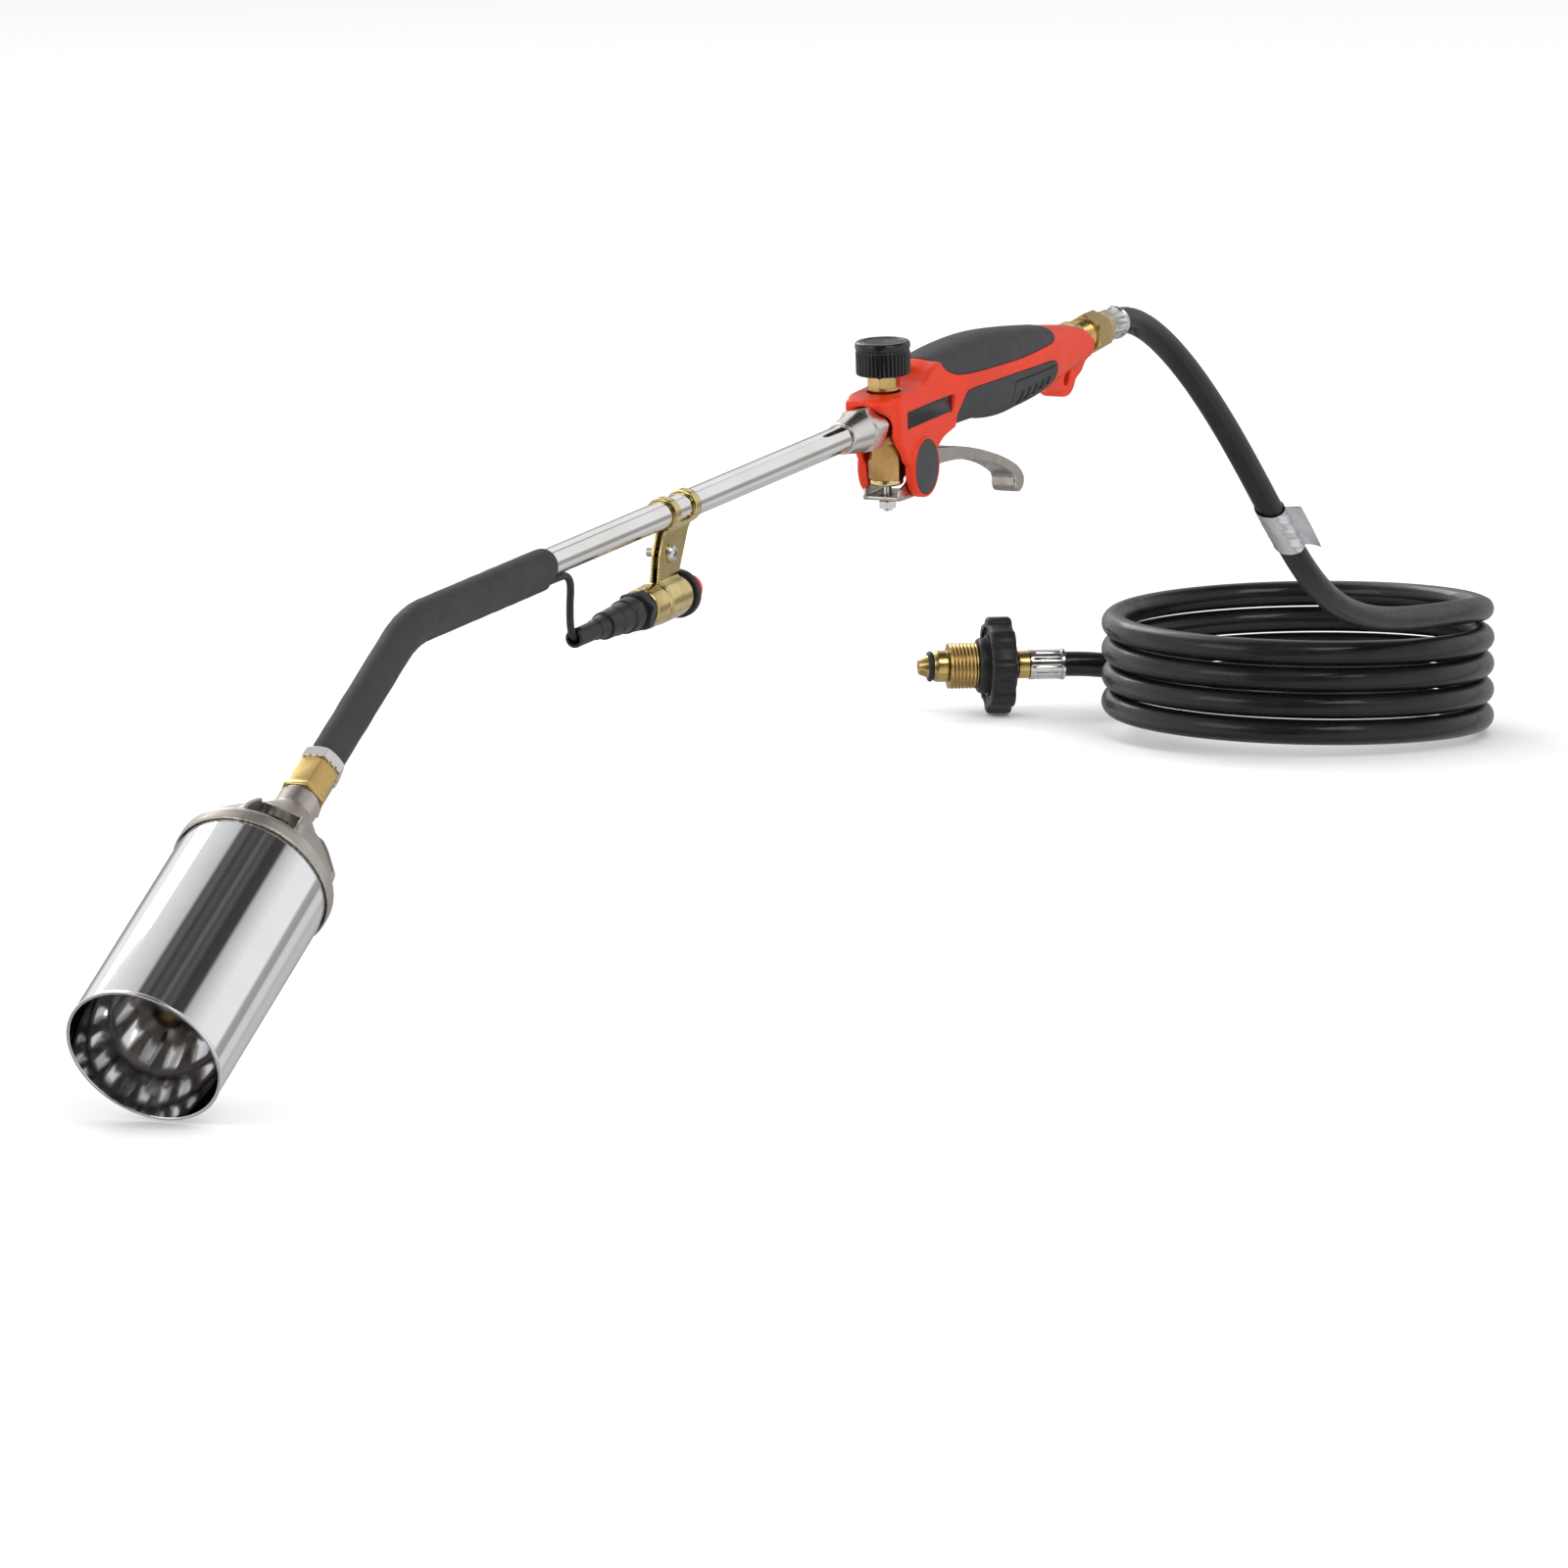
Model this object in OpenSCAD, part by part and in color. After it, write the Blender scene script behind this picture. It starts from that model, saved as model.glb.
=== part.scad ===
// Propane torch with push-button igniter, squeeze valve handle, supply hose and tank connector.
// Millimetres. World frame: +X towards the hose end, +Y away from the near side, +Z up.
// The origin is the middle of the hand grip on the gas pipe axis.
// torch() carries the torch's own frame: x along the lance (bell at -x), z up through the knob.
// nose() carries the bell's frame: z along the gas flow to the bell mouth, x to the upper side.

/* [Lance] */
// outside diameter of the lance tube
tube_d = 12; // [11:0.5:13]
// distance from the valve axis to the bend of the lance
lance_len = 457; // [380:1:600]
// angle of the bend in front of the bell
bend_deg = 27.5; // [10:0.5:40]
// centreline radius of the bend
bend_r = 55; // [40:1:80]
// nose-down pitch of the whole torch
pitch = 4.5; // [0:0.5:12]

/* [Burner] */
// outside diameter of the burner bell
bell_d = 65; // [56:1:76]
// length of the bell in front of the collar ring
bell_len = 106; // [80:1:140]
// wall thickness of the bell
bell_wall = 1; // [0.8:0.1:1.6]
// air windows in the collar
air_windows = 4; // [3:1:5]
// across-flats size of the brass burner nut
burner_nut_af = 16; // [15:0.5:17]

/* [Handle] */
// widest half width of the grip
grip_half = 15.2; // [14:0.1:17]
// half width of the valve head
head_half = 12.5; // [12:0.1:13]
// outside radius of the two pivot lobes
lobe_r = 13.4; // [12.6:0.1:14]
// wall of the grip shells
shell_wall = 2.8; // [2.2:0.1:3.2]

/* [Valve] */
// radius of the control knob over its ribs
knob_r = 12.2; // [11:0.1:13]
// number of ribs round the knob
knob_ribs = 40; // [24:2:48]
// squeeze arm width
arm_w = 12; // [10:0.5:13]

/* [Igniter] */
// radius of the igniter barrel
ign_r = 7.8; // [7.4:0.1:8.2]
// drop of the igniter axis below the lance axis
ign_drop = 36; // [34:0.5:42]

/* [Hose] */
// outside diameter of the hose
hose_d = 12; // [11.6:0.1:12.2]
// bore of the hose
hose_bore = 6.5; // [6.4:0.1:6.8]
// centreline radius of the coil
coil_r = 87.6; // [80:0.5:100]
// centre of the coil along X
coil_x = 458.3; // [440:1:520]
// centre of the coil along Y
coil_y = 40.8; // [20:1:60]
// rise from one loop of the coil to the next
coil_pitch = 12.5; // [12.5:0.1:13.5]
// radius of the tank hand wheel
wheel_r = 23.5; // [21:0.5:24]

/* [Hidden] */
$fn = 64;
tube_r = tube_d / 2;
bore_r = tube_r - 1;
gap = 0.05;
vx = -98;                       // valve axis
bend_v = vx - lance_len;        // corner of the bend
bend_t = bend_r * tan(bend_deg / 2);
bend_x = bend_v + bend_t;       // where the bend starts
tube_x0 = -121.5;               // rear end of the lance tube
sleeve_x0 = -434;               // rear end of the heat sleeve
lead_r = 1.6;
lead_off = -(tube_r + 1.75);    // ignition lead below the tube
lead_out = -11;                 // ignition lead beside the burner nuts
nz_sleeve = 90;                 // stations along the nose axis
nz_lock = 90.2;
nz_nut = 96;
nz_flare = 110.5;
nz_neck = 114;
nz_cone = 124;
nz_ring = 159.7;
nz_bell = nz_ring + 6;
nz_mouth = nz_bell + bell_len;
ring_r = bell_d / 2 + 1.1;
neck_r = 8.8;
piv_x = -85.5;                  // lever pivot
piv_z = -22.3;
piv_r = 2;
cheek_in = 9.2;                 // inside of the two cheeks
lobe_out = 14;                  // outside of the two lobes
roof_z = 13.2;                  // top of the valve head
head_front = -120;
grip_top = 22.9;
grip_bot = -16;
grip_x0 = -68;
grip_x1 = 107;
pad_t = 1.3;
pipe_r = 4;
stem_r = 2;
needle_r = 2.5;
bonnet_z = 20;
fork_z = -34.7;
floor_z = -216;
coil_a0 = -59.7;                // where the free hose joins the coil
coil_turn = 1525;
coil_z1 = floor_z + hose_d / 2;
coil_z0 = coil_z1 + coil_pitch * coil_turn / 360;
fer_x0 = 133;                   // ferrule at the handle
fer_len = 17;
hose_x0 = fer_x0 + 2;
tail_end = [473.4, 171.8, floor_z + 24];
tail_yaw = 123.8;
thread_r = 11.24;               // tank thread, 0.885 in major diameter
ign_x = [-294.5, -306.5, -310.5, -345.5, -350.5, -362, -381, -408];

// ---- vectors and swept tubes ----
function unit(v) = v / norm(v);
function bez(c, t) = len(c) == 1 ? c[0]
    : bez([for (i = [0:len(c) - 2]) c[i] * (1 - t) + c[i + 1] * t], t);
function tangent(p, i) = unit(p[min(i + 1, len(p) - 1)] - p[max(i - 1, 0)]);
function ring_at(c, t, r, n) = let (s = unit(cross(t, [0, 0, 1])), u = cross(s, t))
    [for (k = [0:n - 1]) c + r * (cos(360 * k / n) * s + sin(360 * k / n) * u)];
module sweep(p, r, n) {
    m = len(p);
    pts = [for (i = [0:m - 1]) each ring_at(p[i], tangent(p, i), r, n)];
    sides = [for (i = [0:m - 2]) for (k = [0:n - 1]) let (j = (k + 1) % n)
        [i * n + k, i * n + j, (i + 1) * n + j, (i + 1) * n + k]];
    polyhedron(pts, concat([[for (k = [n - 1:-1:0]) k]], sides,
        [[for (k = [0:n - 1]) (m - 1) * n + k]]), convexity = 12);
}
// tube with a bore: outer rings first, then inner rings, joined at both ends
module sweep_tube(p, r, ri, n) {
    m = len(p);
    pts = concat([for (i = [0:m - 1]) each ring_at(p[i], tangent(p, i), r, n)],
        [for (i = [0:m - 1]) each ring_at(p[i], tangent(p, i), ri, n)]);
    q = m * n;
    sides = [for (i = [0:m - 2]) for (k = [0:n - 1]) let (j = (k + 1) % n)
        each [[i * n + k, i * n + j, (i + 1) * n + j, (i + 1) * n + k],
              [q + i * n + j, q + i * n + k, q + (i + 1) * n + k, q + (i + 1) * n + j]]];
    ends = [for (k = [0:n - 1]) let (j = (k + 1) % n, e = (m - 1) * n)
        each [[j, k, q + k, q + j], [e + k, e + j, q + e + j, q + e + k]]];
    polyhedron(pts, concat(sides, ends), convexity = 12);
}
module coil_spring(r, wire, z0, z1, turns) {
    sweep([for (i = [0:turns * 14]) [r * cos(360 * i / 14), r * sin(360 * i / 14),
        z0 + (z1 - z0) * i / (turns * 14)]], wire, 6);
}

// ---- frames ----
module torch() rotate([0, -pitch, 0]) children();
module along_x(x) translate([x, 0, 0]) rotate([0, 90, 0]) children();
module across(x, z) translate([x, 0, z]) rotate([90, 0, 0]) children();
module nose() torch() translate([bend_v, 0, 0]) rotate([0, -(90 + bend_deg), 0]) children();
module valve() torch() translate([vx, 0, 0]) children();
module igniter() torch() translate([0, 0, -ign_drop]) children();
module tank_end() translate(tail_end) rotate([0, 0, tail_yaw]) rotate([0, 90, 0]) children();
// profile swept along the lance, round the bend and down the nose; profile x is the upper side
module bent_run(x0, z1) {
    translate([bend_x, 0, 0]) rotate([0, 90, 0]) rotate([0, 0, 180])
        linear_extrude(x0 - bend_x) children();
    translate([bend_x, 0, -bend_r]) rotate([90, 0, 0]) rotate([0, 0, 90])
        rotate_extrude(angle = bend_deg, $fn = 160) translate([bend_r, 0]) children();
    translate([bend_v, 0, 0]) rotate([0, -(90 + bend_deg), 0]) translate([0, 0, bend_t])
        linear_extrude(z1 - bend_t) children();
}
// short bands over the two seams of a bent run
module bend_seams() {
    translate([bend_x + 0.5, 0, 0]) rotate([0, 90, 0]) rotate([0, 0, 180]) translate([0, 0, -1])
        linear_extrude(1) children();
    translate([bend_v, 0, 0]) rotate([0, -(90 + bend_deg), 0]) translate([0, 0, bend_t - 0.5])
        linear_extrude(1) children();
}
module hex(af, h) cylinder(r = af / 2 / cos(30), h = h, $fn = 6);
module chamfered_hex(af, h, c) intersection() {
    hex(af, h);
    rotate_extrude($fn = 48) polygon([[0, 0], [af / 2 + 0.1, 0], [af / 2 / cos(30) + 0.1, c],
        [af / 2 / cos(30) + 0.1, h - c], [af / 2 + 0.1, h], [0, h]]);
}
module rod(r, a, b) translate([0, 0, a]) cylinder(r = r, h = b - a);
module link(p, q, r) { // round bar between two points
    d = q - p;
    translate(p) rotate([0, acos(d[2] / norm(d)), atan2(d[1], d[0])]) cylinder(r = r, h = norm(d));
}

// ---- burner ----
module burner_bell() color("silver") nose() difference() {
    union() {
        rod(bell_d / 2, nz_ring + 3, nz_mouth);
        rod(bell_d / 2 + 0.4, nz_mouth - 2, nz_mouth);
    }
    rod(bell_d / 2 - bell_wall, nz_ring, nz_mouth + 1);
}
module burner_collar() color("tan") nose() difference() {
    rotate_extrude($fn = 96) polygon([[6.95, nz_neck + 0.1], [neck_r, nz_neck + 0.1],
        [neck_r, nz_cone], [neck_r + 3, nz_cone + 3.5], [neck_r + 14, nz_cone + 18],
        [neck_r + 21, nz_cone + 29], [ring_r - 0.8, nz_ring - 1.2], [ring_r, nz_ring + 0.6],
        [ring_r, nz_bell], [bell_d / 2 + 0.05, nz_bell], [bell_d / 2 + 0.05, nz_ring + 3],
        [bell_d / 2 - 3, nz_ring + 3], [neck_r + 17.5, nz_cone + 30.5], [neck_r + 10.5, nz_cone + 20],
        [6.95, nz_cone + 7]]);
    for (k = [0:air_windows - 1]) rotate([0, 0, -26 + k * 360 / air_windows])
        translate([7, 0, 0]) rotate([90, 0, 90]) linear_extrude(34)
            polygon(concat([[-10.6, nz_ring - 1.6]], [for (a = [180:-15:0]) [8 * cos(a), nz_cone + 12.5 + 6.5 * sin(a)]],
                [[10.6, nz_ring - 1.6]]));
    translate([lead_out, 0, 0]) rod(2.15, nz_cone - 6, nz_cone + 16);
}
module burner_nut() color("goldenrod") nose() difference() {
    union() {
        translate([0, 0, nz_nut + gap]) rotate([0, 0, 30]) chamfered_hex(burner_nut_af, nz_flare - nz_nut, 0.9);
        translate([0, 0, nz_flare - 1]) rotate([0, 0, 30]) cylinder(r1 = burner_nut_af / 2 / cos(30) + 0.1,
            r2 = burner_nut_af / 2 / cos(30) + 1.1, h = 3.2, $fn = 6);
        translate([0, 0, nz_flare + 2]) rotate([0, 0, 30]) hex(burner_nut_af + 1.5, nz_neck - nz_flare - 2);
        rod(6.9, nz_neck - 1, nz_neck + 8);
    }
    rod(tube_r + gap, nz_nut - 1, nz_nut + 10);
    rod(4.05, nz_nut, nz_neck + 9);
}
module lock_nut() color("silver") nose() difference() {
    translate([0, 0, nz_lock]) rotate([0, 0, 30]) chamfered_hex(17, nz_nut - nz_lock, 0.8);
    rod(tube_r + gap, nz_lock - 1, nz_nut + 1);
}
module gas_jet() color("gold") nose() difference() {
    union() {
        rod(4, nz_nut + 10.2, nz_neck + 8);
        translate([0, 0, nz_neck + 8]) cylinder(r1 = 4, r2 = 2.4, h = 3);
        rod(2.4, nz_neck + 11, nz_neck + 14);
    }
    rod(1.6, nz_nut + 10, nz_neck + 11.5);
    rod(0.4, nz_neck + 10, nz_neck + 15);
}
module electrode_insulator() color("black") nose() translate([lead_out, 0, 0]) difference() {
    union() {
        rod(2.1, nz_cone - 3, nz_cone + 9);
        rod(2.05, nz_cone + 8, nz_cone + 20);
    }
    rod(0.85, nz_cone - 4, nz_cone + 21);
}
module electrode_rod() color("gray") nose() translate([lead_out, 0, 0]) {
    rod(0.8, nz_cone, nz_cone + 44);
    translate([0, 0, nz_cone + 44]) sphere(0.84);
    link([0, 0, nz_cone + 44], [7, 0, nz_cone + 50], 0.8);
}

// ---- lance ----
module lance_tube() color("silver") torch() difference() {
    union() {
        bent_run(tube_x0, nz_nut + 9.5) difference() {
            circle(tube_r);
            circle(bore_r);
        }
        bend_seams() difference() {
            circle(tube_r + 0.02);
            circle(bore_r - 0.2);
        }
    }
    bend_seams() circle(bore_r + 0.02);
}
module sleeve_profile(e) {
    ra = tube_r + 1.3 + e;
    rb = lead_r + 1.25 + e;
    al = acos((ra - rb) / -lead_off);
    circle(ra);
    translate([lead_off, 0]) circle(rb);
    polygon([[-ra * cos(al), ra * sin(al)], [-ra * cos(al), -ra * sin(al)],
        [lead_off - rb * cos(al), -rb * sin(al)], [lead_off - rb * cos(al), rb * sin(al)]]);
}
module heat_sleeve() color("dimgray") difference() {
    union() {
        torch() bent_run(sleeve_x0, nz_sleeve) sleeve_profile(0);
        torch() bend_seams() sleeve_profile(0.02);
        nose() translate([lead_off - 1.9, 0, 0]) rod(4, nz_sleeve - 15, nz_sleeve - 0.1);
    }
    torch() bent_run(sleeve_x0 + 1, nz_sleeve + 1) circle(tube_r + gap);
    torch() bend_seams() {
        circle(tube_r + 2 * gap);
        translate([lead_off, 0]) circle(lead_r + 2 * gap, $fn = 24);
    }
    torch() bent_run(sleeve_x0 + 1, nz_sleeve - 12) translate([lead_off, 0]) circle(lead_r + gap, $fn = 24);
    nose() translate([lead_out - lead_r - gap, -lead_r - 2 * gap, nz_sleeve - 14])
        cube([6.75, 2 * lead_r + 4 * gap, 15]);
}
module ignition_lead() color("black") {
    torch() {
        bent_run(-414, nz_sleeve - 12) translate([lead_off, 0]) circle(lead_r, $fn = 24);
        bend_seams() translate([lead_off, 0]) circle(lead_r + 0.03, $fn = 24);
        for (p = [[-414, lead_off], [-410, lead_off - 4], [-410, 3 - ign_drop], [-407, -ign_drop]])
            translate([p[0], 0, p[1]]) sphere(lead_r + 0.03, $fn = 24);
        across(-414, lead_off - 4)
            rotate_extrude(angle = 90, $fn = 48) translate([4, 0]) circle(lead_r, $fn = 24);
        translate([-410, 0, 0]) rod(lead_r, 3 - ign_drop, lead_off - 4, $fn = 24);
        across(-407, 3 - ign_drop) rotate([0, 0, 180])
            rotate_extrude(angle = 90, $fn = 48) translate([3, 0]) circle(lead_r, $fn = 24);
        along_x(-407) translate([ign_drop, 0, 0]) cylinder(r = lead_r, h = 22, $fn = 24);
    }
    nose() {
        translate([lead_off, 0, nz_sleeve - 12]) sphere(lead_r + 0.03, $fn = 24);
        link([lead_off, 0, nz_sleeve - 12], [lead_out, 0, nz_sleeve - 2], lead_r, $fn = 24);
        translate([lead_out, 0, nz_sleeve - 2]) sphere(lead_r + 0.03, $fn = 24);
        translate([lead_out, 0, 0]) rod(lead_r, nz_sleeve - 2, nz_cone - 3, $fn = 24);
    }
}
module tube_nut() color("silver") torch() difference() {
    union() {
        along_x(-144) cylinder(r1 = 6.9, r2 = 9.3, h = 18);
        along_x(-127.5) chamfered_hex(19.6, 12, 1.2);
    }
    along_x(-145) cylinder(r = tube_r + gap, h = 24);
    along_x(-121.4) cylinder(r = 8.05, h = 13);
}

// ---- igniter ----
clamp_at = [-318.5, -16.8];
module igniter_bracket() color("goldenrod") torch() {
    for (x = [-322, -303]) difference() {
        along_x(x) cylinder(r = tube_r + 1.25, h = 5.5);
        along_x(x - 1) cylinder(r = tube_r + gap, h = 8);
    }
    for (s = [-1, 1]) translate([0, s * 1.55, 0]) rotate([90, 0, 0])
        linear_extrude(1.1, center = true) difference() {
            polygon([[-323.5, -tube_r - 0.6], [-299, -tube_r - 0.6], [-311.7, 1.2 - ign_drop + ign_r],
                [-331.1, 1.2 - ign_drop + ign_r]]);
            translate(clamp_at) circle(2.1);
        }
    for (s = [-1, 1]) translate([-322, s * 3.4 - 1.2, -tube_r - 1]) cube([24.5, 2.4, 1.1]);
    translate([0, 0, -ign_drop]) {
        difference() {
            along_x(-331.3) cylinder(r = ign_r + 1.5, h = 20.7);
            along_x(-332) cylinder(r = ign_r + gap, h = 26);
        }
        difference() {
            along_x(-345.4) cylinder(r = ign_r + 1.1, h = 14.6);
            along_x(-346) cylinder(r = ign_r + gap, h = 17);
        }
    }
}
module bracket_screw() color("silver") torch() across(clamp_at[0], clamp_at[1]) difference() {
    union() {
        rod(2, -9, 2.3);
        translate([0, 0, 2.15]) cylinder(r1 = 3.7, r2 = 2.6, h = 2.2);
    }
    for (a = [0, 90]) rotate([0, 0, a]) translate([-2.2, -0.4, 3.2]) cube([4.4, 0.8, 2]);
}
module bracket_nut() color("silver") torch() across(clamp_at[0], clamp_at[1]) difference() {
    translate([0, 0, -5.4]) chamfered_hex(7, 3.2, 0.4);
    rod(2.04, -6, -1);
}
module igniter_body() color("black") igniter() difference() {
    union() {
        along_x(ign_x[2]) cylinder(r = 10.4, h = ign_x[1] - ign_x[2]);
        along_x(ign_x[3] + 0.1) cylinder(r = ign_r, h = ign_x[2] - ign_x[3]);
        along_x(ign_x[5]) cylinder(r = 6.7, h = ign_x[3] - ign_x[5] + 1);
        along_x(ign_x[6]) cylinder(r = 6.1, h = ign_x[5] - ign_x[6] + 0.5);
        along_x(ign_x[6] - 8) cylinder(r = 2.6, h = 9);
    }
    along_x(-364) cylinder(r = 4.7, h = 45);
    along_x(-319.6) cylinder(r = 6.3, h = 14);
    along_x(-395) cylinder(r = 1.7, h = 32);
}
module igniter_nut() color("black") igniter() difference() {
    along_x(ign_x[4]) rotate([0, 0, 15]) chamfered_hex(16, ign_x[3] - ign_x[4], 0.7);
    along_x(ign_x[4] - 1) cylinder(r = 6.75, h = 9);
}
module igniter_boot() color("black") igniter() difference() {
    union() {
        along_x(ign_x[7]) cylinder(r = 3.9, h = ign_x[6] - ign_x[7]);
        along_x(ign_x[6] - 8) cylinder(r1 = 4.4, r2 = 5.2, h = 7.8);
    }
    along_x(ign_x[7] - 1) cylinder(r = 2.65, h = 38);
    translate([ign_x[7], -2.65, 0]) cube([6, 5.3, 5]);
}
module igniter_button() color("red") igniter() {
    along_x(-313) cylinder(r = 6.2, h = 16);
    along_x(-297) cylinder(r1 = 6.2, r2 = 4.6, h = 2.5);
    along_x(-328) cylinder(r = 2.6, h = 15.5);
}
module igniter_spring() color("silver") igniter() along_x(0)
    coil_spring(3.8, 0.45, -334, -313.6, 6);
module igniter_piezo() color("white") igniter() {
    along_x(-363.8) cylinder(r = 4.6, h = 29);
}

// ---- handle ----
function grip_t(x) = grip_top - pow(x + 28, 2) / 1060;
function grip_b(x) = grip_bot + pow(x - 5, 2) / 1400;
function grip_w(x) = grip_half - pow(x + 5, 2) / 2300;
function section(w, t, b) = [for (k = [0:31]) let (a = 360 * k / 32, c = cos(a), s = sin(a))
    [w * sign(c) * pow(abs(c), 0.78), (t + b) / 2 + (t - b) / 2 * sign(s) * pow(abs(s), 0.78)]];
module grip_body(d, xa, xb) hull() for (i = [0:8]) {
    x = xa + (xb - xa) * i / 8;
    e = d + (i == 8 && d == 0 ? 2.4 : 0);
    translate([x, 0, 0]) rotate([90, 0, 90]) linear_extrude(0.2)
        polygon(section(grip_w(x) - e, grip_t(x) - e, grip_b(x) + e));
}
module side_plate(half, pts) rotate([90, 0, 0]) linear_extrude(2 * half, center = true) polygon(pts);
module hang_lobe() side_plate(6, concat([[54, -12], [62, -16.2]],
    [for (a = [235:12:330]) [84 + 10.4 * cos(a), -11.6 + 10.4 * sin(a)]],
    [[104, -10], [106.5, -3], [90, 0], [54, 0]]));
module handle_solid() {
    side_plate(head_half, [[head_front, roof_z], [head_front, 8.4], [-114, 4.3], [-112.5, 0],
        [-111, -5.5], [-104.4, -13], [piv_x - lobe_r, piv_z], [piv_x + lobe_r, piv_z],
        [-68, -16.4], [-62, -13.4], [-56, -12.6], [-56, 21.2], [-68, 20.9], [-76, 18.4],
        [-80.5, 15], [-84.5, roof_z]]);
    across(piv_x, piv_z) translate([0, 0, -lobe_out]) cylinder(r = lobe_r, h = 2 * lobe_out, $fn = 96);
    grip_body(0, grip_x0, grip_x1);
    hang_lobe();
}
module pad_zone_top() across(0, 0) translate([0, 0, -30]) linear_extrude(60)
    polygon([[-84, 26], [-62, 16.4], [-50, 12.4], [-20, 9.6], [15, 8], [50, 8], [57, 9.4], [59, 12],
        [54, 30], [-84, 30]]);
module pad_zone_side(y) translate([0, y, 0]) rotate([90, 0, 0]) linear_extrude(20, center = true)
    polygon([[-50, -9], [-47, -1.5], [-43, 2.6], [-38, 3.7], [0, 2.9], [44, 0.9], [52, -0.4],
        [55.5, -3.5], [54.5, -8], [48, -12.4], [44, -30], [-52, -30]]);
module pad_shell() difference() {
    grip_body(-0.35, grip_x0, grip_x1);
    grip_body(pad_t, grip_x0 - 2, grip_x1 + 2);
}
screw_at = [[-62, 12], [-4, -8.6], [66, 7.6]];
module handle_half(s) difference() {
    intersection() {
        handle_solid();
        translate([-150, s > 0 ? 0 : -40, -60]) cube([300, 40, 120]);
    }
    // valve and lever space
    translate([-150, -cheek_in, -60]) cube([72, 2 * cheek_in, 71.2]);
    translate([-150, -10.6, -13]) cube([43, 21.2, 24.6]);
    translate([-79, -cheek_in, -60]) cube([40, 2 * cheek_in, 47.4]);
    translate([-79, -7.6, -13]) cube([34, 15.2, 6]);
    along_x(-79) cylinder(r = 6.65, h = 7.2);
    // hollow grip with two pipe ribs
    difference() {
        grip_body(shell_wall, grip_x0 - 2, 62);
        for (x = [-18, 36]) translate([x, -20, -30]) cube([2.4, 40, 60]);
        for (p = screw_at) across(p[0], p[1]) translate([0, 0, -20]) cylinder(r = 3.4, h = 40);
    }
    along_x(-90) cylinder(r = pipe_r + gap, h = 185);
    along_x(91.9) cylinder(r = 9.05, h = 8.2);
    along_x(99) cylinder(r = 7.15, h = 12);
    translate([vx, 0, 0]) rod(7.3, 5, 16);
    across(piv_x, piv_z) translate([0, 0, -13.2]) cylinder(r = piv_r, h = 26.4);
    for (q = [-1, 1]) across(piv_x, piv_z) translate([0, 0, q * (lobe_out - 0.65) - 0.65])
        cylinder(r = lobe_r - 1.2, h = 1.3, $fn = 96);
    // hanging slot
    hull() for (q = [-1, 1]) across(79 + q * 2, -13 + q * 1.8) translate([0, 0, -10])
        cylinder(r = 2.4, h = 20, $fn = 24);
    for (q = [-1, 1]) translate([-102, q * head_half - 0.5, -3.6]) cube([46.4, 1, 8.2]);
    difference() {
        union() {
            pad_zone_top();
            for (q = [-1, 1]) pad_zone_side(q * 15);
        }
        grip_body(pad_t, grip_x0 - 2, grip_x1 + 2);
        translate([-150, -40, -60]) cube([150 + grip_x0 + 3, 80, 120]);
    }
    for (p = screw_at) across(p[0], p[1]) {
        translate([0, 0, -20]) cylinder(r = 3.1, h = 20 - 7.5);
        translate([0, 0, -10]) cylinder(r = 1.55, h = 17);
    }
}
module shell_left() color("red") torch() handle_half(-1);
module shell_right() color("red") torch() handle_half(1);
module handle_screws() color("silver") torch() for (p = screw_at) across(p[0], p[1]) {
    translate([0, 0, -9.6]) cylinder(r = 2.9, h = 2);
    translate([0, 0, -8]) cylinder(r = 1.5, h = 14.5);
}
module pad_top() color("dimgray") torch() intersection() {
    pad_shell();
    difference() {
        pad_zone_top();
        translate([-150, -40, -60]) cube([150 + grip_x0 + 3.1, 80, 120]);
    }
}
module pad_side(s) intersection() {
    pad_shell();
    pad_zone_side(s * 15);
}
module pad_left() color("dimgray") torch() pad_side(-1);
module pad_right() color("dimgray") torch() pad_side(1);
module label_plates() color("black") torch() for (q = [-1, 1])
    translate([-101.9, q * (head_half - 0.1) - 0.35, -3.5]) cube([46.2, 0.7, 8]);
module pivot_caps() color("black") torch() for (q = [-1, 1]) across(piv_x, piv_z)
    translate([0, 0, q * (lobe_out - 0.7) - 0.6]) cylinder(r = lobe_r - 1.25, h = 1.2, $fn = 96);
module pivot_pin() color("silver") torch() across(piv_x, piv_z)
    translate([0, 0, -12.6]) cylinder(r = piv_r, h = 25.2);

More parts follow.
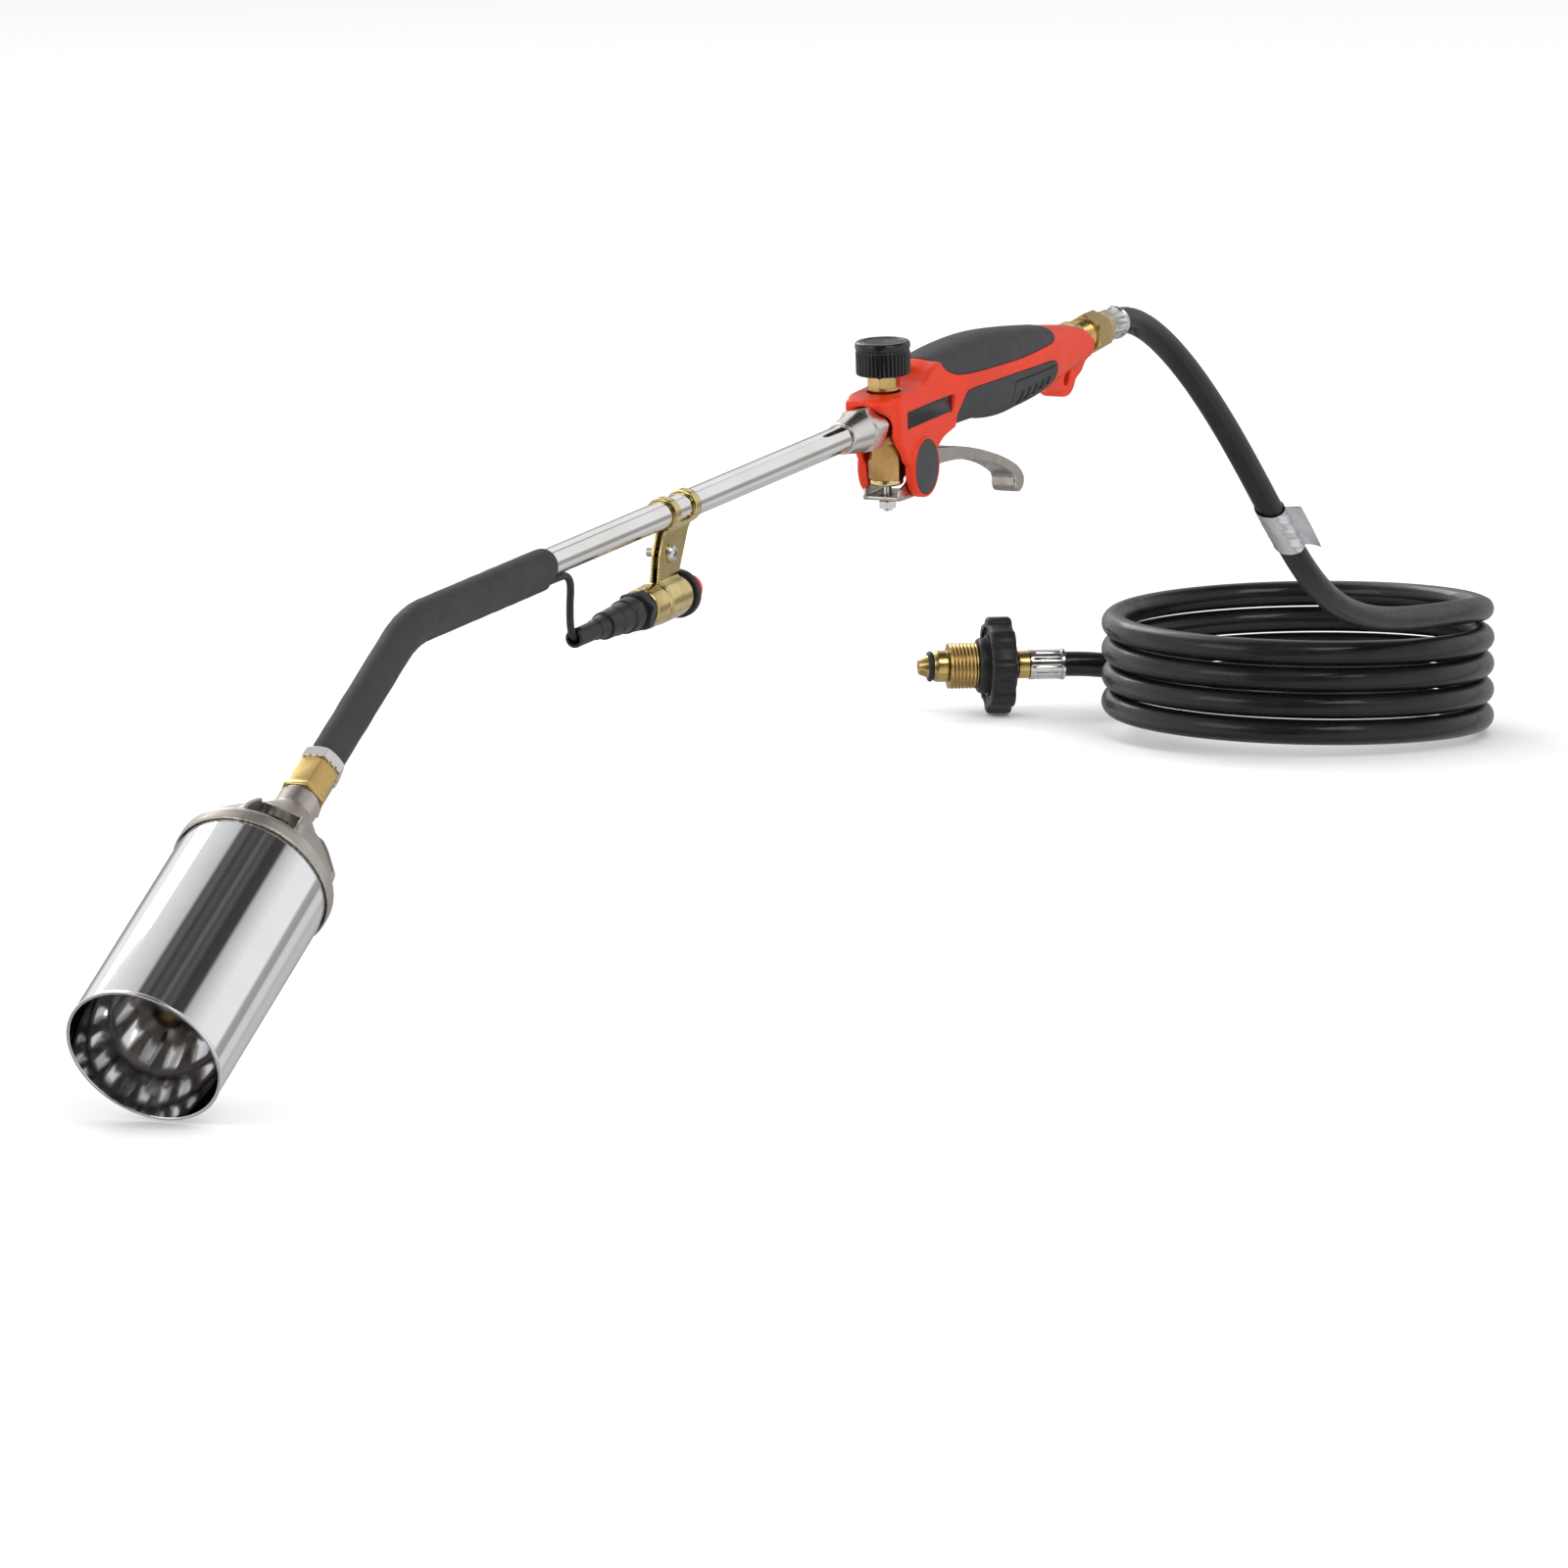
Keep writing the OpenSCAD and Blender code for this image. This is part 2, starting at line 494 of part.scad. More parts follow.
// ---- squeeze lever ----
arm_c = [-79.1, -265.2];        // centre of the arm's arc
arm_R = 246.7;                  // radius of the arm's top face
module trigger_lever() color("silver") torch() difference() {
    union() {
        // curved channel arm
        translate([arm_c[0], 0, arm_c[1]]) rotate([90, 0, 0]) rotate([0, 0, 62.2])
            rotate_extrude(angle = 28.2, $fn = 200) polygon([[arm_R, -arm_w / 2], [arm_R, arm_w / 2],
                [arm_R - 7, arm_w / 2], [arm_R - 7, arm_w / 2 - 2], [arm_R - 2.4, arm_w / 2 - 2],
                [arm_R - 2.4, -arm_w / 2 + 2], [arm_R - 7, -arm_w / 2 + 2], [arm_R - 7, -arm_w / 2]]);
        // rolled finger end
        across(25.5, -47.6) translate([0, 0, -arm_w / 2 - 0.2]) cylinder(r = 5.2, h = arm_w + 0.4);
        // hub and fork
        across(piv_x, piv_z) translate([0, 0, -8.9]) cylinder(r = 4.4, h = 17.8);
        side_plate(arm_w / 2 - 0.2, [[-86, -26.6], [-86, -18], [-76, -16.6], [-74, -17], [-74, -25], [-80, -26.6]]);
        for (s = [-1, 1]) translate([0, s * 8.2, 0]) side_plate(0.7, [[-103.5, fork_z], [-103.5, -30],
            [-96, -27.6], [-89, -18.2], [-82, -18.2], [-81, -26], [-84, fork_z]]);
        translate([-103.5, -8.9, fork_z]) cube([20, 17.8, 1.8]);
    }
    across(piv_x, piv_z) translate([0, 0, -12]) cylinder(r = piv_r + gap, h = 24);
    for (x = [vx - 2.6, vx + 0.3]) translate([x, 0, 0]) rod(2.5, fork_z - 1, -30);
    translate([vx - 2.6, -2.5, fork_z - 1]) cube([2.9, 5, fork_z + 40]);
}

// ---- valve ----
module valve_body() color("goldenrod") torch() translate([vx, 0, 0]) difference() {
    union() {
        rod(8.6, -9, 11);
        translate([0, 0, -25.8]) rotate([0, 0, 22.5]) cylinder(r1 = 7.3, r2 = 7.9, h = 17.5, $fn = 8);
        along_x(-22) cylinder(r = 8, h = 22);
        along_x(0) cylinder(r = 6.6, h = 26);
    }
    along_x(-23) cylinder(r = 4.2, h = 13);
    translate([0, 0, -4.4]) along_x(-13) cylinder(r = 1.5, h = 13, $fn = 24);
    along_x(0) cylinder(r = 2.2, h = 27);
    along_x(18) cylinder(r = pipe_r + gap, h = 9);
    rod(3.3, -0.5, 6);
    rod(1.3, -5, 1, $fn = 24);
    rod(5.45, 4.9, 13);
    rod(3.1, -27, -3.6);
}
module valve_gland() color("gold") valve() difference() {
    union() {
        rod(7.35, -28.4, -25.85);
        rod(3.05, -25.9, -24.4);
    }
    rod(stem_r + gap, -29, -24);
}
module bonnet_nut() color("goldenrod") valve() difference() {
    union() {
        rod(5.4, 7.4, 13.3);
        rod(6.9, 13.3, 14.6);
        translate([0, 0, 14.6]) rotate([0, 0, 10]) chamfered_hex(12.6, bonnet_z - 14.6, 0.8);
    }
    rod(needle_r + gap, 7, bonnet_z + 1);
}
module needle_packing() color("black") valve() difference() {
    rod(5.3, 5.1, 7.3);
    rod(needle_r + gap, 5, 8);
}
module valve_needle() color("silver") valve() {
    rod(needle_r, 2.2, 28.4);
    translate([0, 0, -0.3]) cylinder(r1 = 0.6, r2 = needle_r, h = 2.5);
}
module control_knob() color("black") valve() difference() {
    union() {
        rod(knob_r - 0.7, 20.4, 31);
        translate([0, 0, 31]) cylinder(r1 = knob_r - 0.7, r2 = knob_r - 1.1, h = 0.8);
        translate([0, 0, 31.8]) cylinder(r = knob_r - 0.25, h = 2.2);
        translate([0, 0, 34]) cylinder(r1 = knob_r - 0.25, r2 = knob_r - 1.3, h = 1);
        for (k = [0:knob_ribs - 1]) rotate([0, 0, 360 * k / knob_ribs])
            translate([knob_r - 1.4, -0.42, 20.8]) cube([1.4, 0.84, 9.8]);
    }
    rod(needle_r + gap, 20, 28.5);
    rod(1.65, 28, 33, $fn = 32);
    rod(3.4, 31.5, 36);
    rod(9.05, 33.9, 36);
    rod(8.2, 20, 22.4);
}
module knob_cap() color("black") valve() {
    rod(9, 34, 34.9);
    rod(3.3, 33.7, 34.1);
}
module knob_screw() color("silver") valve() {
    rod(1.6, 28.5, 32, $fn = 32);
    rod(3, 31.55, 33.6);
}
module plunger_stem() color("silver") valve() {
    rod(stem_r, -40, -13);
    rod(3, -13.5, -9);
}
module plunger_spring() color("silver") valve() coil_spring(2.52, 0.4, -23.8, -14, 5);
module stem_nut() color("silver") valve() difference() {
    translate([0, 0, fork_z - 4.1]) rotate([0, 0, 20]) chamfered_hex(7, 3.2, 0.4);
    rod(stem_r + 0.04, fork_z - 5, fork_z);
}

// ---- gas supply ----
module gas_pipe() color("gold") torch() difference() {
    along_x(vx + 18.2) cylinder(r = pipe_r, h = 174);
    along_x(vx + 17) cylinder(r = 2.6, h = 178);
}
module inlet_fitting() color("goldenrod") torch() difference() {
    union() {
        along_x(92) cylinder(r = 9, h = 8);
        along_x(100) cylinder(r = 7.1, h = 22);
    }
    along_x(91) cylinder(r = pipe_r + gap, h = 3.4);
    along_x(91) cylinder(r = 2.4, h = 32);
    along_x(118) cylinder(r1 = 2.4, r2 = 6.4, h = 4.1);
}
module hose_nut() color("goldenrod") torch() difference() {
    along_x(113.6) chamfered_hex(17, 13.4, 1);
    along_x(113) cylinder(r = 7.15, h = 11.4);
    along_x(113) cylinder(r = 5.05, h = 15);
}
module hose_tail() color("goldenrod") torch() difference() {
    union() {
        along_x(118.4) cylinder(r1 = 2.6, r2 = 6.1, h = 3.6);
        along_x(122) cylinder(r = 6.1, h = 2.2);
        along_x(124) cylinder(r = 5, h = 3.3);
        along_x(127.2) chamfered_hex(15, 5.6, 0.8);
        along_x(132) cylinder(r = 3.1, h = 17.5);
    }
    along_x(117) cylinder(r = 1.9, h = 34);
}
module ferrule() difference() { // z from 0 at the hose tail's hex
    union() {
        cylinder(r = 7.2, h = fer_len - 1.6);
        translate([0, 0, fer_len - 1.6]) cylinder(r = 7.6, h = 1.6);
    }
    translate([0, 0, -1]) cylinder(r = 3.15, h = 4);
    translate([0, 0, 1.6]) cylinder(r = 6.35, h = fer_len);
    for (k = [0:11]) rotate([0, 0, k * 30]) translate([7.75, 0, 1.6]) cylinder(r = 0.9, h = fer_len - 4.6, $fn = 16);
}
module hose_ferrules() color("silver") {
    torch() along_x(fer_x0) ferrule();
    tank_end() translate([0, 0, 15]) rotate([180, 0, 0]) ferrule();
}
yaw_dir = [cos(tail_yaw), sin(tail_yaw), 0];
in_dir = [cos(pitch), 0, sin(pitch)];
join = [coil_x + coil_r * cos(coil_a0), coil_y + coil_r * sin(coil_a0), coil_z0];
join_dir = unit([-sin(coil_a0), cos(coil_a0), -0.12]);
leave_a = coil_a0 + coil_turn;
leave = [coil_x + coil_r * cos(leave_a), coil_y + coil_r * sin(leave_a), coil_z1];
leave_dir = [-sin(leave_a), cos(leave_a), 0];
free_c = [in_dir * 152, in_dir * 236, [277.6, -82.8, -174.2], [317.2, 19.3, -150.1],
    join - 76 * join_dir, join];
tail_c = [leave, leave + 40 * leave_dir, tail_end - 45 * yaw_dir, tail_end - 4 * yaw_dir];
coil_steps = 132;
hose_path = concat([in_dir * hose_x0, in_dir * 150.6],
    [for (i = [0:25]) bez(free_c, i / 26)],
    [for (i = [0:coil_steps - 1]) let (a = coil_a0 + coil_turn * i / coil_steps)
        [coil_x + coil_r * cos(a), coil_y + coil_r * sin(a), coil_z0 - coil_pitch * coil_turn * i / coil_steps / 360]],
    [for (i = [0:9]) bez(tail_c, i / 10)], [tail_end - 4 * yaw_dir, tail_end - 2.6 * yaw_dir,
    tail_end + 13 * yaw_dir]);
module hose() color("black") sweep_tube(hose_path, hose_d / 2, hose_bore / 2 + 0.1, 12);
tag_t = 0.37;
tag_p = bez(free_c, tag_t);
tag_d = unit(bez(free_c, tag_t + 0.02) - bez(free_c, tag_t - 0.02));
module hose_tag() color("silver") translate(tag_p) rotate([0, acos(tag_d[2]), atan2(tag_d[1], tag_d[0])]) {
    difference() {
        translate([0, 0, -13]) cylinder(r = hose_d / 2 + 1.1, h = 26);
        translate([0, 0, -14]) cylinder(r = hose_d / 2 + 0.75, h = 28);
    }
    rotate([0, 0, 240]) translate([hose_d / 2 + 0.9, -0.2, -12.8]) cube([7.5, 0.4, 25.6]);
}

// ---- tank connector, z along the way it screws in ----
module pol_nipple() color("goldenrod") tank_end() difference() {
    union() {
        rod(3.1, -1.5, 16);
        rod(6.6, 15.2, 20.5);
        rod(4.5, 20, 56);
        rod(7.6, 55, 60);
        translate([0, 0, 60]) cylinder(r1 = 7.6, r2 = 3.6, h = 9);
    }
    rod(1.9, -2, 70);
    translate([0, 0, 63.4]) rotate_extrude($fn = 48) translate([6.2, 0]) circle(1.25, $fn = 20);
}
module nose_seal() color("black") tank_end() translate([0, 0, 63.4])
    rotate_extrude($fn = 48) translate([6.2, 0]) circle(1.2, $fn = 20);
module pol_nut() color("goldenrod") tank_end() difference() {
    union() {
        rod(thread_r, 41, 54.6);
        translate([0, 0, 24]) hex(17.6, 17.2);
    }
    rod(4.55, 23, 56);
}
module hand_wheel() color("black") tank_end() difference() {
    union() {
        rod(wheel_r - 5.2, 24, 36);
        for (k = [0:7]) rotate([0, 0, 45 * k]) translate([wheel_r - 6, 0, 24.3]) cylinder(r = 6, h = 11.4, $fn = 32);
        rod(13.4, 22.2, 40.4);
    }
    rod(4.9, 21, 26);
    translate([0, 0, 23.9]) hex(17.7, 18);
    for (k = [0:7]) rotate([0, 0, 45 * k + 22.5]) translate([wheel_r + 0.6, 0, 23]) cylinder(r = 4.6, h = 14, $fn = 32);
}

burner_bell();
burner_collar();
burner_nut();
lock_nut();
gas_jet();
electrode_insulator();
electrode_rod();
lance_tube();
heat_sleeve();
ignition_lead();
tube_nut();
igniter_bracket();
bracket_screw();
bracket_nut();
igniter_body();
igniter_nut();
igniter_boot();
igniter_button();
igniter_spring();
igniter_piezo();
shell_left();
shell_right();
handle_screws();
pad_top();
pad_left();
pad_right();
label_plates();
pivot_caps();
pivot_pin();
trigger_lever();
valve_body();
bonnet_nut();
needle_packing();
valve_needle();
control_knob();
knob_cap();
knob_screw();
valve_gland();
plunger_stem();
plunger_spring();
stem_nut();
gas_pipe();
inlet_fitting();
hose_nut();
hose_tail();
hose_ferrules();
hose();
hose_tag();
pol_nipple();
pol_nut();
hand_wheel();
nose_seal();
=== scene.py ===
import random
from math import acos, asin, atan2, copysign, cos, degrees, pi, radians, sin, tan, tanh

import bmesh
import bpy
import numpy as np
from mathutils import Matrix, Vector


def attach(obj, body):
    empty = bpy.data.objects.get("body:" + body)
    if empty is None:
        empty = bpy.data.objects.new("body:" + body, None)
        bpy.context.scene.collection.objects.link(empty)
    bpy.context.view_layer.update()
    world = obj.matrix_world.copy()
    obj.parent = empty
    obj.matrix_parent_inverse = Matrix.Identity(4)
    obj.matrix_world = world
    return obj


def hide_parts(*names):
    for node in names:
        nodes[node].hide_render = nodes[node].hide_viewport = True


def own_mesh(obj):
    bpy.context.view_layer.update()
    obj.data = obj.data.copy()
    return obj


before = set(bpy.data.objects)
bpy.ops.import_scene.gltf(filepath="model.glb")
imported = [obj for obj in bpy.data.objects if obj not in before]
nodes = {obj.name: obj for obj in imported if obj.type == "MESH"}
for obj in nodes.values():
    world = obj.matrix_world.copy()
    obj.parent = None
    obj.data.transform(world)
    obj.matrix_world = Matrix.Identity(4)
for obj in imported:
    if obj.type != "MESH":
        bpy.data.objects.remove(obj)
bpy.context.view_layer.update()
MM = 0.001


def spin(angle, axis):
    return Matrix.Rotation(radians(angle), 4, axis)


def shift(x, y, z):
    return Matrix.Translation((x, y, z))


# ---------------------------------------------------------------- frames
# torch frame: x towards the hose, y to the far side, z up through the knob, origin in the grip
PITCH = 4.5
BEND_DEG = 27.5
BEND_X = -555.0          # corner of the lance's bend
BEND_R = 55.0
VALVE_X = -98.0
TAIL_END = Vector((473.4, 171.8, -192.0))
TAIL_YAW = 123.8
FLOOR_Z = -216.0
SLEEVE_X = -434.0         # rear end of the heat sleeve
IGN = -36.0               # igniter axis below the lance axis

TORCH = Matrix.Scale(MM, 4) @ spin(-PITCH, "Y")
LANCE = TORCH @ spin(90, "Y")                         # z along the lance
IGNITER = TORCH @ shift(0, 0, IGN) @ spin(90, "Y")    # z along the igniter
NOSE = TORCH @ shift(BEND_X, 0, 0) @ spin(-90 - BEND_DEG, "Y")
VALVE = TORCH @ shift(VALVE_X, 0, 0)
TANK = (Matrix.Scale(MM, 4) @ Matrix.Translation(TAIL_END) @ spin(TAIL_YAW, "Z") @ spin(90, "Y"))
WORLD = Matrix.Scale(MM, 4)


# ---------------------------------------------------------------- node materials
class Mat:
    """A small wrapper round a node tree: m.add(type, inputs) adds a node, m.set feeds the main shader."""

    def __init__(self, name, world=False):
        self.m = bpy.data.worlds.new(name) if world else bpy.data.materials.new(name)
        self.m.use_nodes = True
        self.t = self.m.node_tree
        self.t.nodes.clear()
        self.out = self.t.nodes.new("ShaderNodeOutputWorld" if world else "ShaderNodeOutputMaterial")
        self.bsdf = self.t.nodes.new("ShaderNodeBackground" if world else "ShaderNodeBsdfPrincipled")
        self.t.links.new(self.bsdf.outputs[0], self.out.inputs[0])
        self.geo = self.t.nodes.new("ShaderNodeTexCoord")

    def add(self, kind, inputs=None, **props):
        n = self.t.nodes.new(kind)
        for k, v in props.items():
            setattr(n, k, v)
        for k, v in (inputs or {}).items():
            if isinstance(v, bpy.types.NodeSocket):
                self.t.links.new(v, n.inputs[k])
            else:
                n.inputs[k].default_value = v
        return n

    def set(self, **inputs):
        for k, v in inputs.items():
            key = k.replace("_", " ")
            if isinstance(v, bpy.types.NodeSocket):
                self.t.links.new(v, self.bsdf.inputs[key])
            else:
                self.bsdf.inputs[key].default_value = v
        return self

    def coord(self):
        return self.add("ShaderNodeMapping", {"Vector": self.geo.outputs["Object"]}).outputs[0]

    def rotated(self, src, matrix):
        q = matrix.inverted()
        return self.add("ShaderNodeMapping", {"Vector": src, "Location": q.to_translation(),
            "Rotation": q.to_euler(), "Scale": q.to_scale()}).outputs[0]

    def noise(self, vec, scale, detail=3.0, rough=0.5):
        return self.add("ShaderNodeTexNoise", {"Vector": vec, "Scale": scale, "Detail": detail,
            "Roughness": rough}).outputs["Fac"]

    def ramp(self, fac, lo, hi, a=0.0, b=1.0):
        return self.add("ShaderNodeMapRange", {"Value": fac, "From Min": lo, "From Max": hi, "To Min": a,
            "To Max": b}).outputs[0]

    def mix(self, fac, a, b):
        n = self.add("ShaderNodeMix", data_type="RGBA")
        for sock, v in ((n.inputs[0], fac), (n.inputs[6], a), (n.inputs[7], b)):
            if isinstance(v, bpy.types.NodeSocket):
                self.t.links.new(v, sock)
            else:
                sock.default_value = v
        return n.outputs[2]

    def math(self, op, a, b=0.0):
        n = self.add("ShaderNodeMath", operation=op)
        for sock, v in ((n.inputs[0], a), (n.inputs[1], b)):
            if isinstance(v, bpy.types.NodeSocket):
                self.t.links.new(v, sock)
            else:
                sock.default_value = v
        return n.outputs[0]

    def bump(self, height, strength, dist=0.0002, base=None):
        ins = {"Height": height, "Strength": strength, "Distance": dist}
        if base is not None:
            ins["Normal"] = base
        return self.add("ShaderNodeBump", ins).outputs[0]

    def soft_edges(self, radius_mm):
        return self.add("ShaderNodeBevel", {"Radius": radius_mm * MM}, samples=6).outputs[0]


def rgb(r, g, b):
    return (r, g, b, 1.0)


def metal(name, color, rough, grain=0.02, bump=0.05, bump_scale=400, edge=0.25, tint=None, patch=30):
    m = Mat(name)
    v = m.coord()
    patches = m.noise(v, patch, 4, 0.6)
    fine = m.noise(v, bump_scale, 3, 0.55)
    other = tint or tuple(c * 0.86 for c in color)
    m.set(Metallic=1.0, Base_Color=m.mix(m.ramp(patches, 0.35, 0.65), rgb(*color), rgb(*other)),
        Roughness=m.ramp(patches, 0.3, 0.7, rough - grain, rough + grain), Normal=m.bump(fine, bump,
        0.0001, m.soft_edges(edge) if edge else None))
    return m.m


def plastic(name, color, rough, bump=0.1, bump_scale=900, edge=0.25, vary=0.12, spec=0.5):
    m = Mat(name)
    v = m.coord()
    patches = m.noise(v, 40, 4, 0.6)
    fine = m.noise(v, bump_scale, 2, 0.6)
    dark = tuple(c * (1 - vary) for c in color)
    lite = tuple(min(1.0, c * (1 + vary)) for c in color)
    m.set(Base_Color=m.mix(m.ramp(patches, 0.35, 0.65), rgb(*dark), rgb(*lite)),
        Roughness=m.ramp(m.noise(v, 120, 3), 0.3, 0.7, rough - 0.05, rough + 0.05),
        Specular_IOR_Level=spec, Normal=m.bump(fine, bump, 0.0001, m.soft_edges(edge) if edge else None))
    return m.m


def turned(name, color, rough, matrix, pitch_mm=0.35, strength=0.12, edge=0.25):
    """Lathe-turned metal: fine rings round the local z axis of the given frame."""
    m = Mat(name)
    local = m.rotated(m.geo.outputs["Object"], matrix)
    z = m.add("ShaderNodeSeparateXYZ", {"Vector": local}).outputs[2]
    rings = m.noise(m.add("ShaderNodeCombineXYZ", {"Z": z}).outputs[0], 1.0 / pitch_mm, 2, 0.6)
    patches = m.noise(local, 0.05, 4, 0.6)
    dark = tuple(c * 0.75 for c in color)
    m.set(Metallic=1.0, Base_Color=m.mix(m.ramp(patches, 0.35, 0.7), rgb(*color), rgb(*dark)),
        Roughness=m.ramp(rings, 0.3, 0.7, rough - 0.05, rough + 0.08), Normal=m.bump(rings, strength,
        0.00008, m.soft_edges(edge)))
    return m.m


def braided(name):
    """Black hose rubber with the herringbone of the braid pressed into it; uses the sweep's UV map."""
    m = Mat(name)
    uv = m.add("ShaderNodeSeparateXYZ", {"Vector": m.geo.outputs["UV"]})
    around, along = uv.outputs[0], uv.outputs[1]
    lanes = m.math("MULTIPLY", around, 20.0)
    zig = m.math("PINGPONG", lanes, 1.0)
    phase = m.math("ADD", m.math("MULTIPLY", along, 32.0), m.math("MULTIPLY", zig, 0.9))
    ridge = m.math("PINGPONG", phase, 0.5)
    height = m.math("ADD", m.ramp(ridge, 0.08, 0.42), m.math("MULTIPLY", m.ramp(zig, 0.0, 0.18), 0.5))
    v = m.coord()
    patches = m.noise(v, 60, 4, 0.6)
    fine = m.noise(v, 1500, 2, 0.6)
    m.set(Base_Color=m.mix(m.ramp(patches, 0.35, 0.65), rgb(0.004, 0.004, 0.0045),
        rgb(0.008, 0.008, 0.0085)), Roughness=m.ramp(m.noise(v, 150, 3), 0.3, 0.7, 0.25, 0.36),
        Specular_IOR_Level=0.22, Coat_Weight=0.35, Coat_Roughness=0.13, Normal=m.bump(fine, 0.1, 0.0001,
        m.bump(height, 0.45, 0.00018)))
    return m.m


MATS = {
    "chrome": metal("chrome", (0.86, 0.86, 0.87), 0.06, 0.02, 0.01, 300, 0.2, (0.82, 0.82, 0.84)),
    "nickel": metal("nickel", (0.75, 0.72, 0.68), 0.2, 0.05, 0.06, 500, 0.3),
    "cast": metal("cast", (0.55, 0.51, 0.46), 0.42, 0.07, 0.5, 900, 0.4, (0.45, 0.42, 0.38), 90),
    "brass": metal("brass", (0.69, 0.5, 0.2), 0.24, 0.06, 0.12, 700, 0.25, (0.52, 0.36, 0.13), 60),
    "steel": metal("steel", (0.7, 0.7, 0.7), 0.25, 0.06, 0.08, 700, 0.2),
    "zinc": metal("zinc", (0.7, 0.56, 0.25), 0.15, 0.06, 0.04, 500, 0.2, (0.52, 0.4, 0.17), 70),
    "black": plastic("black", (0.012, 0.012, 0.0135), 0.42, spec=0.38),
    "red": plastic("red", (0.61, 0.03, 0.005), 0.38, 0.06, 1400, 0.3, 0.06, 0.24),
    "button": plastic("button", (0.62, 0.015, 0.03), 0.22, 0.02, 900, 0.3, 0.05),
    "grip": plastic("grip", (0.034, 0.035, 0.039), 0.6, 0.3, 2200, 0.3, 0.1, 0.35),
    "sleeve": plastic("sleeve", (0.03, 0.03, 0.0325), 0.62, 0.2, 1200, 0.3, 0.1, 0.35),
    "rubber": plastic("rubber", (0.011, 0.011, 0.012), 0.42, 0.2, 1200, 0.2, 0.1, 0.4),
    "ceramic": plastic("ceramic", (0.8, 0.78, 0.72), 0.3, 0.05, 600, 0.2, 0.03),
    "foil": metal("foil", (0.8, 0.8, 0.82), 0.3, 0.08, 0.4, 150, 0.0),
    "tube": metal("tube", (0.84, 0.83, 0.81), 0.05, 0.015, 0.012, 500, 0.0, (0.78, 0.76, 0.73), 25),
    "brass_nose": turned("brass_nose", (0.66, 0.46, 0.16), 0.24, NOSE, 0.5, 0.1),
    "brass_cast": metal("brass_cast", (0.57, 0.35, 0.13), 0.27, 0.08, 0.4, 1100, 0.3,
                        (0.4, 0.24, 0.08), 90),
    "brass_bright": turned("brass_bright", (0.85, 0.66, 0.32), 0.16, TORCH, 0.4, 0.06),
    "cast_rough": metal("cast_rough", (0.57, 0.53, 0.49), 0.3, 0.1, 0.6, 700, 0.4,
                        (0.44, 0.41, 0.37), 120),
    "ceramic_dark": plastic("ceramic_dark", (0.02, 0.02, 0.022), 0.3, 0.05, 700, 0.2),
    "knob": plastic("knob", (0.007, 0.007, 0.008), 0.2, 0.08, 1500, 0.2),
    "black_satin": plastic("black_satin", (0.03, 0.031, 0.035), 0.5, 0.25, 1800, 0.3),
    "gloss": plastic("gloss", (0.006, 0.006, 0.007), 0.3, 0.02, 700, 0.15, spec=0.3),
    "ferrule": metal("ferrule", (0.7, 0.69, 0.68), 0.13, 0.08, 0.15, 900, 0.15, (0.6, 0.58, 0.55), 120),
    "hose": braided("hose"),
}

USE = {
    "chrome": "burner_bell lance_tube lock_nut",
    "nickel": "tube_nut hose_ferrules",
    "cast": "burner_collar trigger_lever",
    "brass": "burner_nut gas_jet valve_body bonnet_nut valve_gland inlet_fitting hose_nut hose_tail "
             "pol_nipple pol_nut gas_pipe",
    "steel": "electrode_rod bracket_screw bracket_nut handle_screws pivot_pin knob_screw valve_needle "
             "plunger_stem plunger_spring stem_nut igniter_spring",
    "zinc": "igniter_bracket",
    "black": "igniter_body igniter_nut control_knob knob_cap hand_wheel pivot_caps label_plates "
             "electrode_insulator",
    "red": "shell_left shell_right",
    "button": "igniter_button",
    "grip": "pad_top pad_left pad_right",
    "sleeve": "heat_sleeve",
    "rubber": "hose ignition_lead igniter_boot needle_packing nose_seal",
    "ceramic": "igniter_piezo",
    "foil": "hose_tag",
}


def paint(obj, mat):
    obj.data.materials.clear()
    obj.data.materials.append(mat)


for mat_name, names in USE.items():
    for n in names.split():
        paint(nodes[n], MATS[mat_name])

# ---------------------------------------------------------------- mesh helpers (millimetres)
def obj_from(name, verts, faces):
    me = bpy.data.meshes.new(name)
    me.from_pydata([tuple(v) for v in verts], [], faces)
    o = bpy.data.objects.new(name, me)
    bpy.context.collection.objects.link(o)
    return o


def drop(*objs):
    for o in objs:
        me = o.data
        bpy.data.objects.remove(o)
        bpy.data.meshes.remove(me)


def bake(o):
    """Applies the object's modifiers to its mesh."""
    dg = bpy.context.evaluated_depsgraph_get()
    new = bpy.data.meshes.new_from_object(o.evaluated_get(dg))
    old = o.data
    o.modifiers.clear()
    o.data = new
    bpy.data.meshes.remove(old)
    return o


def modify(o, kind, **props):
    m = o.modifiers.new(kind, kind)
    for k, v in props.items():
        setattr(m, k, v)
    return bake(o)


def boolean(o, tools, operation):
    for t in tools:
        modify(o, "BOOLEAN", operation=operation, object=t, solver="MANIFOLD")
    drop(*tools)
    return o


def cut(o, *tools):
    return boolean(o, tools, "DIFFERENCE")


def join(o, *tools):
    return boolean(o, tools, "UNION")


def keep_inside(o, *tools):
    return boolean(o, tools, "INTERSECT")


def soften(o, voxel, rounds, factor=0.5):
    modify(o, "REMESH", mode="VOXEL", voxel_size=voxel, use_smooth_shade=True)
    if rounds:
        modify(o, "SMOOTH", factor=factor, iterations=rounds)
    return o


def finish_piece(o, matrix, mat, node, angle, body="torch"):
    """Puts a millimetre mesh in its place, shades it and hands it to the frame; node is what it replaces."""
    o.data.transform(matrix)
    o.data.polygons.foreach_set("use_smooth", [True] * len(o.data.polygons))
    o.data.set_sharp_from_angle(angle=radians(angle))
    paint(o, MATS[mat])
    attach(o, body)
    if node:
        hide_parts(node)
    return o


